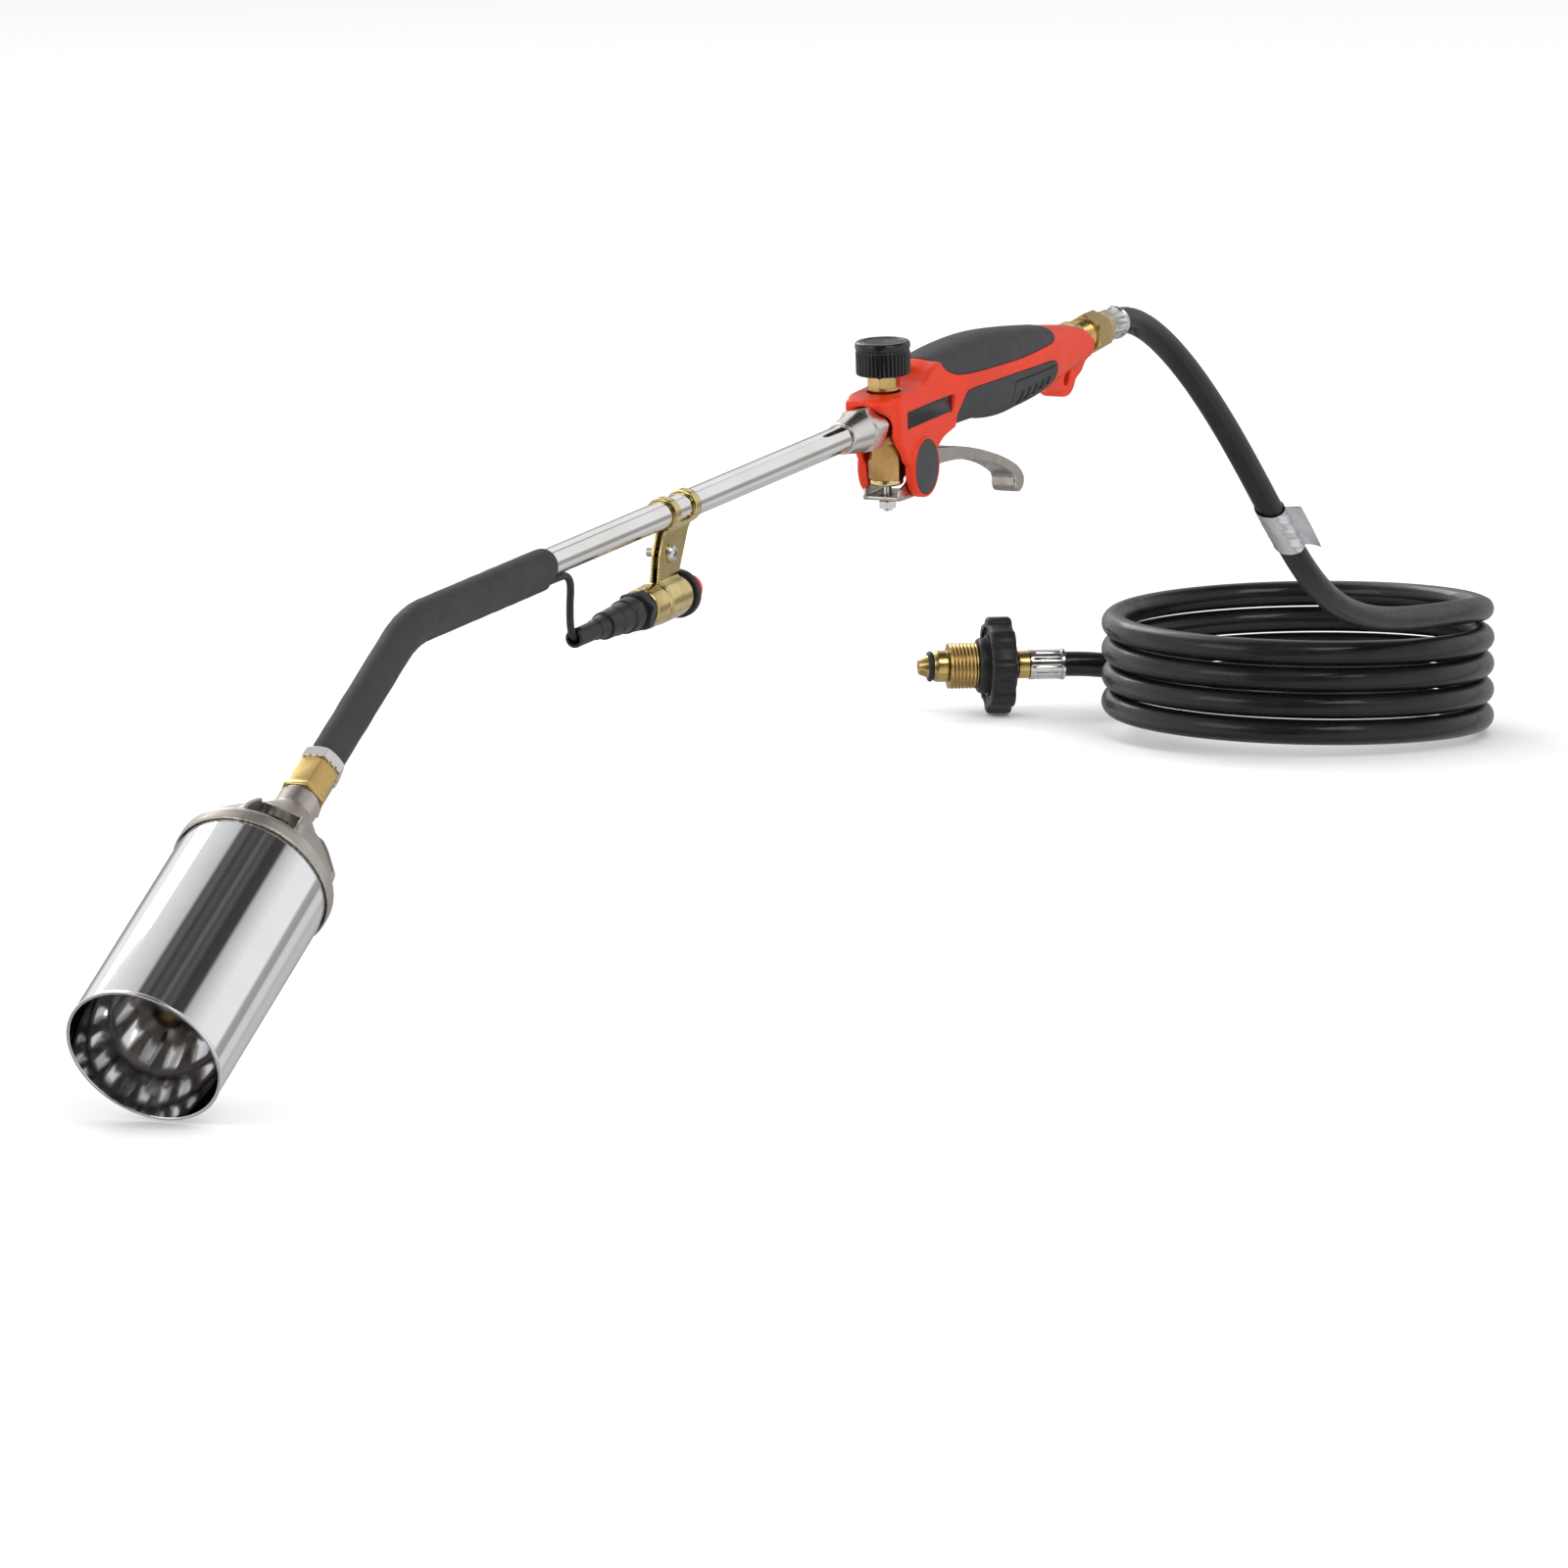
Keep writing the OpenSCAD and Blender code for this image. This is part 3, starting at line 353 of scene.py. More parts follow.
def ring_at(z, radius, n):
    """Ring of n points round z; radius is a function of the angle."""
    angles = [2 * pi * k / n for k in range(n)]
    return [(radius(a) * cos(a), radius(a) * sin(a), z) for a in angles]


def loft(name, rings):
    """Solid through a list of equal-length rings of points."""
    n = len(rings[0])
    verts = [p for ring in rings for p in ring]
    faces = []
    for i in range(len(rings) - 1):
        for k in range(n):
            j = (k + 1) % n
            faces.append((i * n + k, i * n + j, (i + 1) * n + j, (i + 1) * n + k))
    faces.append(tuple(range(n - 1, -1, -1)))
    faces.append(tuple((len(rings) - 1) * n + k for k in range(n)))
    o = obj_from(name, verts, faces)
    fix_normals(o)
    return o


def fix_normals(o):
    bm = bmesh.new()
    bm.from_mesh(o.data)
    bmesh.ops.recalc_face_normals(bm, faces=bm.faces)
    bm.to_mesh(o.data)
    bm.free()


def lathe(name, profile, segments=96):
    """Revolves (radius, z) points round z: a closed outline, or one that starts and ends on the axis."""
    pts = list(profile)
    verts, rings = [], []
    for r, z in pts:
        if r < 1e-6:
            rings.append([len(verts)])
            verts.append((0, 0, z))
        else:
            rings.append(list(range(len(verts), len(verts) + segments)))
            for k in range(segments):
                a = 2 * pi * k / segments
                verts.append((r * cos(a), r * sin(a), z))
    faces = []
    closed = pts[0][0] > 1e-6
    for i in range(len(rings) - (0 if closed else 1)):
        a, b = rings[i], rings[(i + 1) % len(rings)]
        for k in range(segments):
            j = (k + 1) % segments
            if len(a) == 1 and len(b) == 1:
                continue
            if len(a) == 1:
                faces.append((a[0], b[j], b[k]))
            elif len(b) == 1:
                faces.append((a[k], a[j], b[0]))
            else:
                faces.append((a[k], a[j], b[j], b[k]))
    o = obj_from(name, verts, faces)
    fix_normals(o)
    return o


def rounded(profile, radius, steps=4):
    """Rounds the corners of a closed (r, z) outline with short arcs."""
    out = []
    n = len(profile)
    for i in range(n):
        p0, p1, p2 = (np.array(profile[(i + d) % n], float) for d in (-1, 0, 1))
        a, b = p0 - p1, p2 - p1
        la, lb = np.linalg.norm(a), np.linalg.norm(b)
        r = min(radius, la * 0.45, lb * 0.45)
        s, e = p1 + a / la * r, p1 + b / lb * r
        for k in range(steps + 1):
            t = k / steps
            out.append(tuple((1 - t) ** 2 * s + 2 * t * (1 - t) * p1 + t * t * e))
    return out


def prism(name, outline, lo, hi, axis="y"):
    """Extrudes an outline: axis y takes (x, z) points, axis z takes (x, y), axis x takes (y, z)."""
    place = {"y": lambda p, h: (p[0], h, p[1]), "z": lambda p, h: (p[0], p[1], h), "x": lambda p,
        h: (h, p[0], p[1])}[axis]
    n = len(outline)
    verts = [place(p, lo) for p in outline] + [place(p, hi) for p in outline]
    faces = [tuple(range(n)), tuple(range(2 * n - 1, n - 1, -1))]
    faces += [(k, (k + 1) % n, n + (k + 1) % n, n + k) for k in range(n)]
    o = obj_from(name, verts, faces)
    fix_normals(o)
    return o


def box(name, lo, hi):
    return prism(name, [(lo[0], lo[2]), (hi[0], lo[2]), (hi[0], hi[2]), (lo[0], hi[2])], lo[1], hi[1])


def rod(name, r, a, b, n=48, axis="z", at=(0, 0)):
    """Cylinder from a to b along an axis, centred at the two other coordinates in at."""
    ring = [(at[0] + r * cos(2 * pi * k / n), at[1] + r * sin(2 * pi * k / n)) for k in range(n)]
    return prism(name, ring, a, b, axis)


def spline(points, count):
    """Catmull-Rom curve through the points, count samples, evenly spaced in length."""
    p = np.array(points, float)
    ext = np.vstack([2 * p[0] - p[1], p, 2 * p[-1] - p[-2]])
    dense = []
    for i in range(len(p) - 1):
        a, b, c, d = ext[i:i + 4]
        for t in np.linspace(0, 1, 24, endpoint=False):
            dense.append(0.5 * ((2 * b) + (c - a) * t + (2 * a - 5 * b + 4 * c - d) * t ** 2
                + (3 * b - a - 3 * c + d) * t ** 3))
    dense.append(p[-1])
    dense = np.array(dense)
    s = np.concatenate([[0], np.cumsum(np.linalg.norm(np.diff(dense, axis=0), axis=1))])
    want = np.linspace(0, s[-1], count)
    return np.stack([np.interp(want, s, dense[:, k]) for k in range(dense.shape[1])], 1)


def curve_at(xs, ys):
    """Smooth function through (xs, ys) by monotone cubic steps."""
    xs, ys = np.array(xs, float), np.array(ys, float)
    d = np.gradient(ys, xs)

    def f(x):
        i = int(np.clip(np.searchsorted(xs, x) - 1, 0, len(xs) - 2))
        h = xs[i + 1] - xs[i]
        t = np.clip((x - xs[i]) / h, 0, 1)
        return ((2 * t ** 3 - 3 * t ** 2 + 1) * ys[i] + (t ** 3 - 2 * t ** 2 + t) * h * d[i]
            + (-2 * t ** 3 + 3 * t ** 2) * ys[i + 1] + (t ** 3 - t ** 2) * h * d[i + 1])
    return f


def sweep(name, path, radius, n=24):
    """Round bar along a path."""
    p = np.array(path, float)
    t = np.gradient(p, axis=0)
    t /= np.linalg.norm(t, axis=1)[:, None]
    side = np.cross(t[0], (0, 0, 1))
    if np.linalg.norm(side) < 1e-3:
        side = np.array((0.0, 1.0, 0.0))
    side /= np.linalg.norm(side)
    rings = []
    for i in range(len(p)):
        side = side - t[i] * np.dot(side, t[i])
        side /= np.linalg.norm(side)
        up = np.cross(side, t[i])
        rings.append([tuple(p[i] + radius * (cos(a) * side + sin(a) * up)) for a in np.linspace(0, 2 * pi,
            n, endpoint=False)])
    return loft(name, rings)


# ---------------------------------------------------------------- handle
GRIP_TOP = curve_at((-78, -66, -50, -32, -4, 23, 51, 80, 97, 108), (19.5, 21.9, 22.9, 23.3, 22.6, 19.7,
    15.7, 11, 8.1, 6.6))
GRIP_BOT = curve_at((-78, -56, -40, -27, -18, -7, 3, 21, 40, 57, 80, 97, 108), (-11, -12.6, -12.6, -12.9,
    -13.4, -15.4, -16.4, -16.2, -15.6, -14.2, -11.6, -10.2, -9.2))
GRIP_W = curve_at((-78, -66, -40, -5, 30, 60, 85, 108), (12.6, 13.4, 14.8, 15.3, 14.9, 13.3, 11.0, 9.2))


def grip_section(x, d, n=72, power=0.78):
    w, top, bot = GRIP_W(x) - d, GRIP_TOP(x) - d, GRIP_BOT(x) + d
    ring = []
    for k in range(n):
        a = 2 * pi * k / n
        c, s = cos(a), sin(a)
        ring.append((x, w * copysign(abs(c) ** power, c), (top + bot) / 2 + (top - bot) / 2
            * copysign(abs(s) ** power, s)))
    return ring


def grip_loft(name, d, xa, xb, n=70):
    return loft(name, [grip_section(x, d) for x in np.linspace(xa, xb, n)])


PIV = (-85.5, -22.3)
LOBE_R, LOBE_OUT = 13.4, 14.0
CHEEK_IN = 9.2
HEAD_HALF = 12.6


def arc(cx, cz, r, a0, a1, n=12):
    return [(cx + r * cos(radians(a)), cz + r * sin(radians(a))) for a in np.linspace(a0, a1, n)]


HEAD_OUTLINE = ([(-117.5, 12.1), (-119.8, 10.6), (-120.2, 8.0), (-117.5, 6.0), (-114, 4.0), (-112.5, 0),
    (-111, -5.5), (-107.5, -10), (-104.4, -13), (-101, -18.5)] + arc(*PIV, 12.6, 170, 360, 22)
    + [(-72.5, -18.5), (-69, -16.2), (-64, -13.6), (-56, -12.0), (-40, -8), (-40, 16), (-60, 20),
    (-68, 20.6), (-74, 18.6), (-78, 16.4), (-82, 14.2), (-88, 13.4)])
PAD_TOP_EDGE = [(-66.8, 24), (-66.2, 21.4), (-63.5, 18.2), (-58.5, 15.2), (-50, 12.3), (-36, 10.8),
    (-20, 9.9), (15, 8.2), (50, 8.2), (56.5, 9.0), (59.6, 11.4), (59.0, 14.6), (56, 18), (56, 34),
    (-66.8, 34)]
PAD_SIDE_EDGE = [(-51.2, -9), (-49.6, -5), (-47.4, -1.2), (-44.6, 2.2), (-40, 3.8), (-22, 3.5), (14, 2.3),
    (44, 1.0), (51, 0.4), (55.3, -1.4), (56.6, -4.6), (55.2, -8.6), (50.5, -11), (46, -12.6), (44, -30),
    (-52.5, -30)]


def smooth_outline(points, step=1.2, tension=0.5):
    """Closed outline resampled by a Catmull-Rom curve, so its corners turn gently."""
    p = np.array(points + points[:3], float)
    out = []
    for i in range(len(points)):
        a, b, c, d = p[i:i + 4]
        n = max(2, int(np.linalg.norm(c - b) / step))
        for t in np.linspace(0, 1, n, endpoint=False):
            m1, m2 = (c - a) * tension * 0.7, (d - b) * tension * 0.7
            out.append(tuple((2 * t ** 3 - 3 * t ** 2 + 1) * b + (t ** 3 - 2 * t ** 2 + t) * m1
                + (-2 * t ** 3 + 3 * t ** 2) * c + (t ** 3 - t ** 2) * m2))
    return out


def grow(points, d):
    """Moves each point of an anticlockwise or clockwise outline outwards by d."""
    p = np.array(points, float)
    nxt, prv = np.roll(p, -1, 0), np.roll(p, 1, 0)
    t = nxt - prv
    t /= np.linalg.norm(t, axis=1)[:, None] + 1e-9
    nrm = np.stack([t[:, 1], -t[:, 0]], 1)
    area2 = np.sum(p[:, 0] * nxt[:, 1] - nxt[:, 0] * p[:, 1])
    return [tuple(q) for q in p + nrm * d * (1 if area2 > 0 else -1)]


PAD_DEPTH = 1.3
SCREWS = [(-62, 12), (66, 7.6)]


def pad_zone(name, outline, lo, hi, inner_d=PAD_DEPTH):
    """Prism of the outline with the inside of the grip taken away, so only the skin is left."""
    zone = prism(name, outline, lo, hi)
    return cut(zone, grip_loft("core", inner_d, -82, 112))


def build_handle():
    solid = grip_loft("grip_solid", 0, -76, 107.2)
    head = prism("head", smooth_outline(HEAD_OUTLINE), -HEAD_HALF, HEAD_HALF)
    lobe = prism("lobe", smooth_outline([(52, -12), (60, -15.2), (66, -17)] + arc(83.5, -11.6, 10.6, 218,
        335, 12) + [(100, -13.5), (104.5, -9), (106.3, -3), (96, 2), (52, 0)]), -5.8, 5.8)
    plan = smooth_outline([(-121, -5.5), (-119.6, -8.6), (-115, -10.2), (-110.6, -10.8), (-108.2, -11.6),
        (-106.4, -13), (-40, -14), (-40, 14), (-106.4, 13), (-108.2, 11.6), (-110.6, 10.8), (-115, 10.2),
        (-119.6, 8.6), (-121, 5.5)], 0.8, 0.4)
    keep_inside(head, prism("plan", plan, -60, 60, "z"))
    join(solid, head, lobe)
    soften(solid, 0.7, 20, 0.5)
    discs = lathe("discs", rounded([(0.01, -LOBE_OUT), (LOBE_R, -LOBE_OUT), (LOBE_R, LOBE_OUT),
        (0.01, LOBE_OUT)], 1.3), 128)
    discs.data.transform(shift(PIV[0], 0, PIV[1]) @ spin(90, "X"))
    join(solid, discs)
    tools = [box("slot", (-150, -CHEEK_IN, -60), (-77, CHEEK_IN, -1.0)), box("casting_room",
        (-108, -CHEEK_IN, -2), (-77, CHEEK_IN, 10.4)), box("under", (-80, -CHEEK_IN, -60),
        (-40, CHEEK_IN, -12.6)), box("under2", (-80, -7.6, -13), (-46, 7.6, -7.2)), rod("pipe", 9.1, 91.9,
        112, 48, "x"), rod("bonnet", 7.3, 5, 22, 48, "z", (VALVE_X, 0)), rod("nut_room", 9.75, -150,
        -107.2, 64, "x"),]
    cut(solid, *tools)
    for q in (-1, 1):
        face = q * HEAD_HALF
        lo, hi = sorted((face - q * 0.55, face + q * 3))
        cut(solid, box("label", (-101.6, lo, -3.2), (-55.2, hi, 4.6)))
        lo, hi = sorted((q * (LOBE_OUT - 0.9), q * (LOBE_OUT + 3)))
        cut(solid, rod("disc_room", LOBE_R - 1.25, lo, hi, 96, "y", PIV))
    eye = prism("eye", smooth_outline([(82.2, -9.6), (86.5, -9.0), (85.4, -14.6), (82.6, -16.8),
        (79.6, -15.6), (80.4, -12)], 0.5), -12, 12)
    cut(solid, eye)
    soften(solid, 0.42, 4, 0.5)
    # recesses for the rubber
    cut(solid, pad_zone("zone_top", grow(smooth_outline(PAD_TOP_EDGE), 0.25), -40, 40))
    for q in (-1, 1):
        lo, hi = sorted((q * 0.9, q * 40))
        cut(solid, pad_zone("zone_side", grow(smooth_outline(PAD_SIDE_EDGE), 0.25), lo, hi))
    for q, side in ((-1, "shell_left"), (1, "shell_right")):
        half = solid if q > 0 else obj_from("copy", [], [])
        if q < 0:
            half.data = solid.data.copy()
        lo, hi = sorted((q * 0.05, q * 60))
        keep_inside(half, box("keep", (-200, lo, -100), (200, hi, 100)))
        if q > 0:
            cut(half, *[rod("screw_way", 3.1, 7.5, 40, 40, "y", at) for at in SCREWS])
        half.name = side + "_moulding"
        finish_piece(half, TORCH, "red", side, 50)


def build_pads():
    """Rubber inlays of the grip; the two at the sides have shallow grooves."""
    specs = [("pad_top", PAD_TOP_EDGE, -40, 40), ("pad_left", PAD_SIDE_EDGE, -40, -1.0),
        ("pad_right", PAD_SIDE_EDGE, 1.0, 40)]
    for name, outline, lo, hi in specs:
        pad = grip_loft(name + "_rubber", -0.28, -80, 110)
        keep_inside(pad, pad_zone("zone", smooth_outline(outline), lo, hi, PAD_DEPTH - 0.1))
        soften(pad, 0.4, 3, 0.5)
        if name != "pad_top":
            # a fine line round a plain panel, and five short bars in it that shrink towards the rear
            y0, y1 = (0, 40) if lo > 0 else (-40, 0)
            shapes = [[(5.6, -0.6), (52, -1.6), (52, -2.3), (6.4, -1.4), (6.4, -26), (5.6, -26)]]
            for k in range(5):
                x, top = 13 + 7.4 * k, -6.6 + 0.25 * k
                low = top - 6.2 + k * 0.7
                shapes.append([(x, top), (x + 4.6, top), (x + 4.6, low), (x, low)])
            for shape in shapes:
                cut(pad, cut(prism("groove", shape, y0, y1), grip_loft("core", 0.35, -80, 110)))
        finish_piece(pad, TORCH, "grip", name, 45)


# ---------------------------------------------------------------- burner
Z_SLEEVE, Z_LOCK, Z_NUT, Z_FLARE, Z_NECK, Z_CONE, Z_RING = 90.0, 90.2, 96.0, 110.5, 114.0, 124.0, 159.7
Z_BELL = Z_RING + 6
Z_MOUTH = Z_BELL + 106
BELL_R, RING_R, NECK_R = 32.5, 33.6, 8.8
LEAD_OFF, LEAD_OUT = -7.75, -11.0
WINDOW_PHASE = -26.0


def hex_ring(af, rot=0.0):
    r = af / 2 / cos(radians(30))
    return [(r * cos(radians(rot + 60 * k)), r * sin(radians(rot + 60 * k))) for k in range(6)]


def hex_nut(name, af, a, b, bore, rot=0.0, chamfer=(1.0, 1.0)):
    """Hexagon from a to b with chamfered corners (start, end) and a bore."""
    corner = af / 2 / cos(radians(30))
    c0, c1 = chamfer
    rin = af / 2 - 0.15
    body = prism(name, hex_ring(af, rot), a, b, "z")
    env = [(bore, a - 0.01 if c0 == 0 else a)]
    env += [(rin, a), (corner + 0.02, a + c0)] if c0 else [(corner + 1, a - 0.01)]
    env += [(corner + 0.02, b - c1), (rin, b)] if c1 else [(corner + 1, b + 0.01)]
    env += [(bore, b if c1 else b + 0.01)]
    return keep_inside(body, lathe("env", env, 96))


def build_bell():
    t, edge = 1.0, Z_MOUTH
    profile = rounded([(BELL_R - t, Z_RING + 3), (BELL_R, Z_RING + 3), (BELL_R, edge - 1.4),
        (BELL_R + 0.35, edge - 0.9), (BELL_R + 0.35, edge), (BELL_R - t, edge)], 0.35, 3)
    bell = lathe("bell", profile, 192)
    finish_piece(bell, NOSE, "chrome", "burner_bell", 50)


def build_collar():
    outer = [(NECK_R, Z_NECK + 0.1), (NECK_R, Z_CONE), (NECK_R + 2.4, Z_CONE + 3.2),
        (NECK_R + 7, Z_CONE + 10), (NECK_R + 14, Z_CONE + 19), (NECK_R + 20.5, Z_CONE + 28.5),
        (RING_R - 1.2, Z_RING - 2), (RING_R, Z_RING), (RING_R, Z_BELL), (BELL_R + 0.1, Z_BELL),
        (BELL_R + 0.1, Z_RING + 3), (BELL_R - 3, Z_RING + 3), (NECK_R + 17, Z_CONE + 30),
        (NECK_R + 10, Z_CONE + 21), (7.1, Z_CONE + 8), (7.1, Z_NECK + 0.1)]
    collar = lathe("collar", outer, 144)
    lips = [(NECK_R - 1, Z_CONE + 1), (NECK_R + 4.6, Z_CONE + 3.4), (NECK_R + 9, Z_CONE + 9.5),
        (NECK_R + 16.4, Z_CONE + 19), (NECK_R + 23, Z_CONE + 29), (RING_R - 0.6, Z_RING),
        (RING_R - 6, Z_RING), (NECK_R + 8, Z_CONE + 21), (NECK_R - 1, Z_CONE + 10)]

    def window(grow_by):
        w0, w1 = 10.6 + grow_by, 8.0 + grow_by
        arch = [(w1 * cos(a), Z_CONE + 12.5 + (w1 - 1.5) * sin(a)) for a in np.linspace(pi, 0, 13)]
        base = Z_RING - 1.4 + (0 if grow_by == 0 else 1.0)
        return [(-w0, base)] + arch + [(w0, base)]
    spots = [WINDOW_PHASE + 90 * k for k in range(4)]

    def turn(o, deg):
        o.data.transform(spin(deg, "Z"))
        return o
    for a in spots:
        lip = lathe("lip", lips, 96)
        keep_inside(lip, turn(prism("frame", window(2.6), 5, 40, "x"), a))
        join(collar, lip)
    soften(collar, 0.55, 3, 0.5)
    cut(collar, *[turn(prism("window", window(0), 5.5, 40, "x"), a) for a in spots])
    cut(collar, rod("lead_hole", 2.3, Z_CONE - 8, Z_CONE + 16, 32, "z", (LEAD_OUT, 0)))
    soften(collar, 0.4, 4, 0.5)
    cut(collar, rod("bore", 7.1, Z_NECK - 1, Z_CONE + 9, 96), rod("seat", BELL_R + 0.05, Z_RING + 3,
        Z_BELL + 1, 192))
    finish_piece(collar, NOSE, "cast", "burner_collar", 50)


def build_nose_nuts():
    nut = hex_nut("brass_nut", 16, Z_NUT + 0.05, Z_FLARE, 5.95, 30, (0.9, 0))
    flare = []
    for z, af in ((Z_FLARE - 0.4, 15.9), (Z_FLARE + 0.6, 16.2), (Z_FLARE + 1.9, 17.4),
            (Z_NECK - 0.5, 17.7), (Z_NECK, 17.2)):
        flare.append([(p[0], p[1], z) for p in hex_ring(af, 30)])
    join(nut, loft("flare", flare))
    join(nut, rod("socket", 6.92, Z_NECK - 1, Z_NECK + 8, 64))
    cut(nut, rod("bore_a", 6.05, Z_NUT - 1, Z_NUT + 10, 64), rod("bore_b", 4.05, Z_NUT, Z_NECK + 9, 48))
    modify(nut, "BEVEL", width=0.22, segments=2, limit_method="ANGLE", angle_limit=radians(28))
    finish_piece(nut, NOSE, "brass_nose", "burner_nut", 30)
    lock = hex_nut("lock_nut_hex", 17, Z_LOCK, Z_NUT, 6.05, 30, (0.8, 0.5))
    for k in range(18):
        a = radians(20 * k + 7)
        tool = rod("tooth", 0.55, Z_NUT - 1.1, Z_NUT + 1, 8, "z", (8.7 * cos(a), 8.7 * sin(a)))
        cut(lock, tool)
    finish_piece(lock, NOSE, "nickel", "lock_nut", 30)


# ---------------------------------------------------------------- lance
def lance_path(x0, z1, step=3.0):
    """Points, up vectors along the lance in the torch frame, from x0 round the bend to nose station z1."""
    phi = radians(BEND_DEG)
    t = BEND_R * tan(phi / 2)
    out = []
    for x in np.linspace(x0, BEND_X + t, max(2, int((x0 - BEND_X - t) / (step * 3)) + 1)):
        out.append(((x, 0, 0), (0, 0, 1)))
    for a in np.linspace(0, phi, 24)[1:]:
        out.append(((BEND_X + t - BEND_R * sin(a), 0, -BEND_R + BEND_R * cos(a)), (-sin(a), 0, cos(a))))
    for d in np.linspace(t, z1, max(2, int((z1 - t) / (step * 3)) + 1))[1:]:
        out.append(((BEND_X - d * cos(phi), 0, -d * sin(phi)), (-sin(phi), 0, cos(phi))))
    return out


def planar_loft(name, path, profile):
    """Solid through a planar path; profile is a list of (up, lateral) points, or makes it by station."""
    rings = []
    for i, (p, up) in enumerate(path):
        pts = profile(i) if callable(profile) else profile
        rings.append([(p[0] + u * up[0], v, p[2] + u * up[2]) for u, v in pts])
    return loft(name, rings)


def circle_pts(r, n=64, off=0.0):
    return [(off + r * cos(2 * pi * k / n), r * sin(2 * pi * k / n)) for k in range(n)]


def build_lance():
    path = lance_path(-121.5, Z_NUT + 9.5)
    tube = planar_loft("tube", path, circle_pts(6.0, 72))
    inner = planar_loft("tube_bore", lance_path(-120.5, Z_NUT + 10.5), circle_pts(5.0, 72))
    cut(tube, inner)
    finish_piece(tube, TORCH, "tube", "lance_tube", 50)


def sleeve_profile(ra, rb, n=72):
    """Outline round the tube circle and the lead's smaller circle under it, as (up, lateral) points."""
    al = acos((ra - rb) / -LEAD_OFF)
    lo = pi - al
    pts = [(ra * cos(a), ra * sin(a)) for a in np.linspace(-lo, lo, n - n // 3)]
    pts += [(LEAD_OFF + rb * cos(a), rb * sin(a)) for a in np.linspace(lo, 2 * pi - lo, n // 3)]
    return pts


def build_sleeve():
    rng = random.Random(7)
    path = lance_path(SLEEVE_X, Z_SLEEVE, 1.0)
    waves = [(rng.uniform(0, 6.3), rng.uniform(9, 30)) for _ in range(6)]

    def outline(i):
        s = i / (len(path) - 1)
        swell = 0.05 * sum(sin(ph + w * s * 6) for ph, w in waves) / 2
        ends = 0.45 * max(0, 1 - min(i, len(path) - 1 - i) / 1.5)
        return sleeve_profile(7.3 + swell - ends * 0.4, 2.85 + swell - ends * 0.3)
    sleeve = planar_loft("sleeve", path, outline)
    inner = planar_loft("sleeve_bore", lance_path(SLEEVE_X + 1, Z_SLEEVE + 1), circle_pts(6.05, 64))
    lead = planar_loft("lead_bore", lance_path(SLEEVE_X + 1, Z_SLEEVE + 1), circle_pts(1.65, 24,
        LEAD_OFF))
    cut(sleeve, inner, lead)
    finish_piece(sleeve, TORCH, "sleeve", "heat_sleeve", 50)


def build_lead():
    r = 1.6
    pts = [(-402.0, 0, IGN), (-406.5, 0, IGN + 0.3), (-409.6, 0, IGN + 2.6), (-410.8, 0, IGN + 7.5),
        (-410.4, 0, -21), (-409.4, 0, -15), (-410.0, 0, -11), (-413.5, 0, -8.4), (-420, 0, LEAD_OFF),
        (-432, 0, LEAD_OFF)]
    head = spline(pts, 60)
    run = [(p[0] + LEAD_OFF * up[0], 0, p[2] + LEAD_OFF * up[2]) for p, up in lance_path(-436, Z_SLEEVE
        - 12)]
    phi = radians(BEND_DEG)

    def nose_pt(x, z):
        return (BEND_X - z * cos(phi) - x * sin(phi), 0, -z * sin(phi) + x * cos(phi))
    tail = [nose_pt(*q) for q in ((LEAD_OFF - 0.6, Z_SLEEVE - 8), (LEAD_OUT + 0.3, Z_SLEEVE - 1.5),
        (LEAD_OUT, Z_SLEEVE + 6), (LEAD_OUT, Z_CONE - 12), (LEAD_OUT, Z_CONE - 3))]
    path = np.vstack([head, np.array(run), spline(tail, 30)])
    lead = sweep("lead", spline(path[::2], 240), r, 24)
    finish_piece(lead, TORCH, "rubber", "ignition_lead", 50)
    bead = lathe("bead", rounded([(0.85, Z_CONE - 3), (2.1, Z_CONE - 3), (2.1, Z_CONE + 9),
        (2.05, Z_CONE + 9.2), (2.05, Z_CONE + 20), (0.85, Z_CONE + 20)], 0.4), 40)
    bead.data.transform(shift(LEAD_OUT, 0, 0))
    finish_piece(bead, NOSE, "ceramic_dark", "electrode_insulator", 40)


def build_tube_nut():
    cone = lathe("tube_nut_cone", rounded([(6.05, -144), (6.9, -144), (7.2, -142.6), (9.3, -127),
        (9.2, -125.5), (6.05, -125.5)], 0.4), 96)
    nut = hex_nut("tube_nut_hex", 18.6, -127.4, -115.5, 8.05, 20, (1.3, 1.0))
    cut(nut, rod("seat", 6.05, -129, -110, 64))
    join(nut, cone)
    cut(nut, rod("socket", 8.05, -121.4, -110, 64))
    finish_piece(nut, LANCE, "nickel", "tube_nut", 30)


# ---------------------------------------------------------------- igniter
SCREW = (-318.5, -16.8)
BARREL_R = 7.85
PLATE_GAP = 0.95         # half the gap between the two plates of the clamp


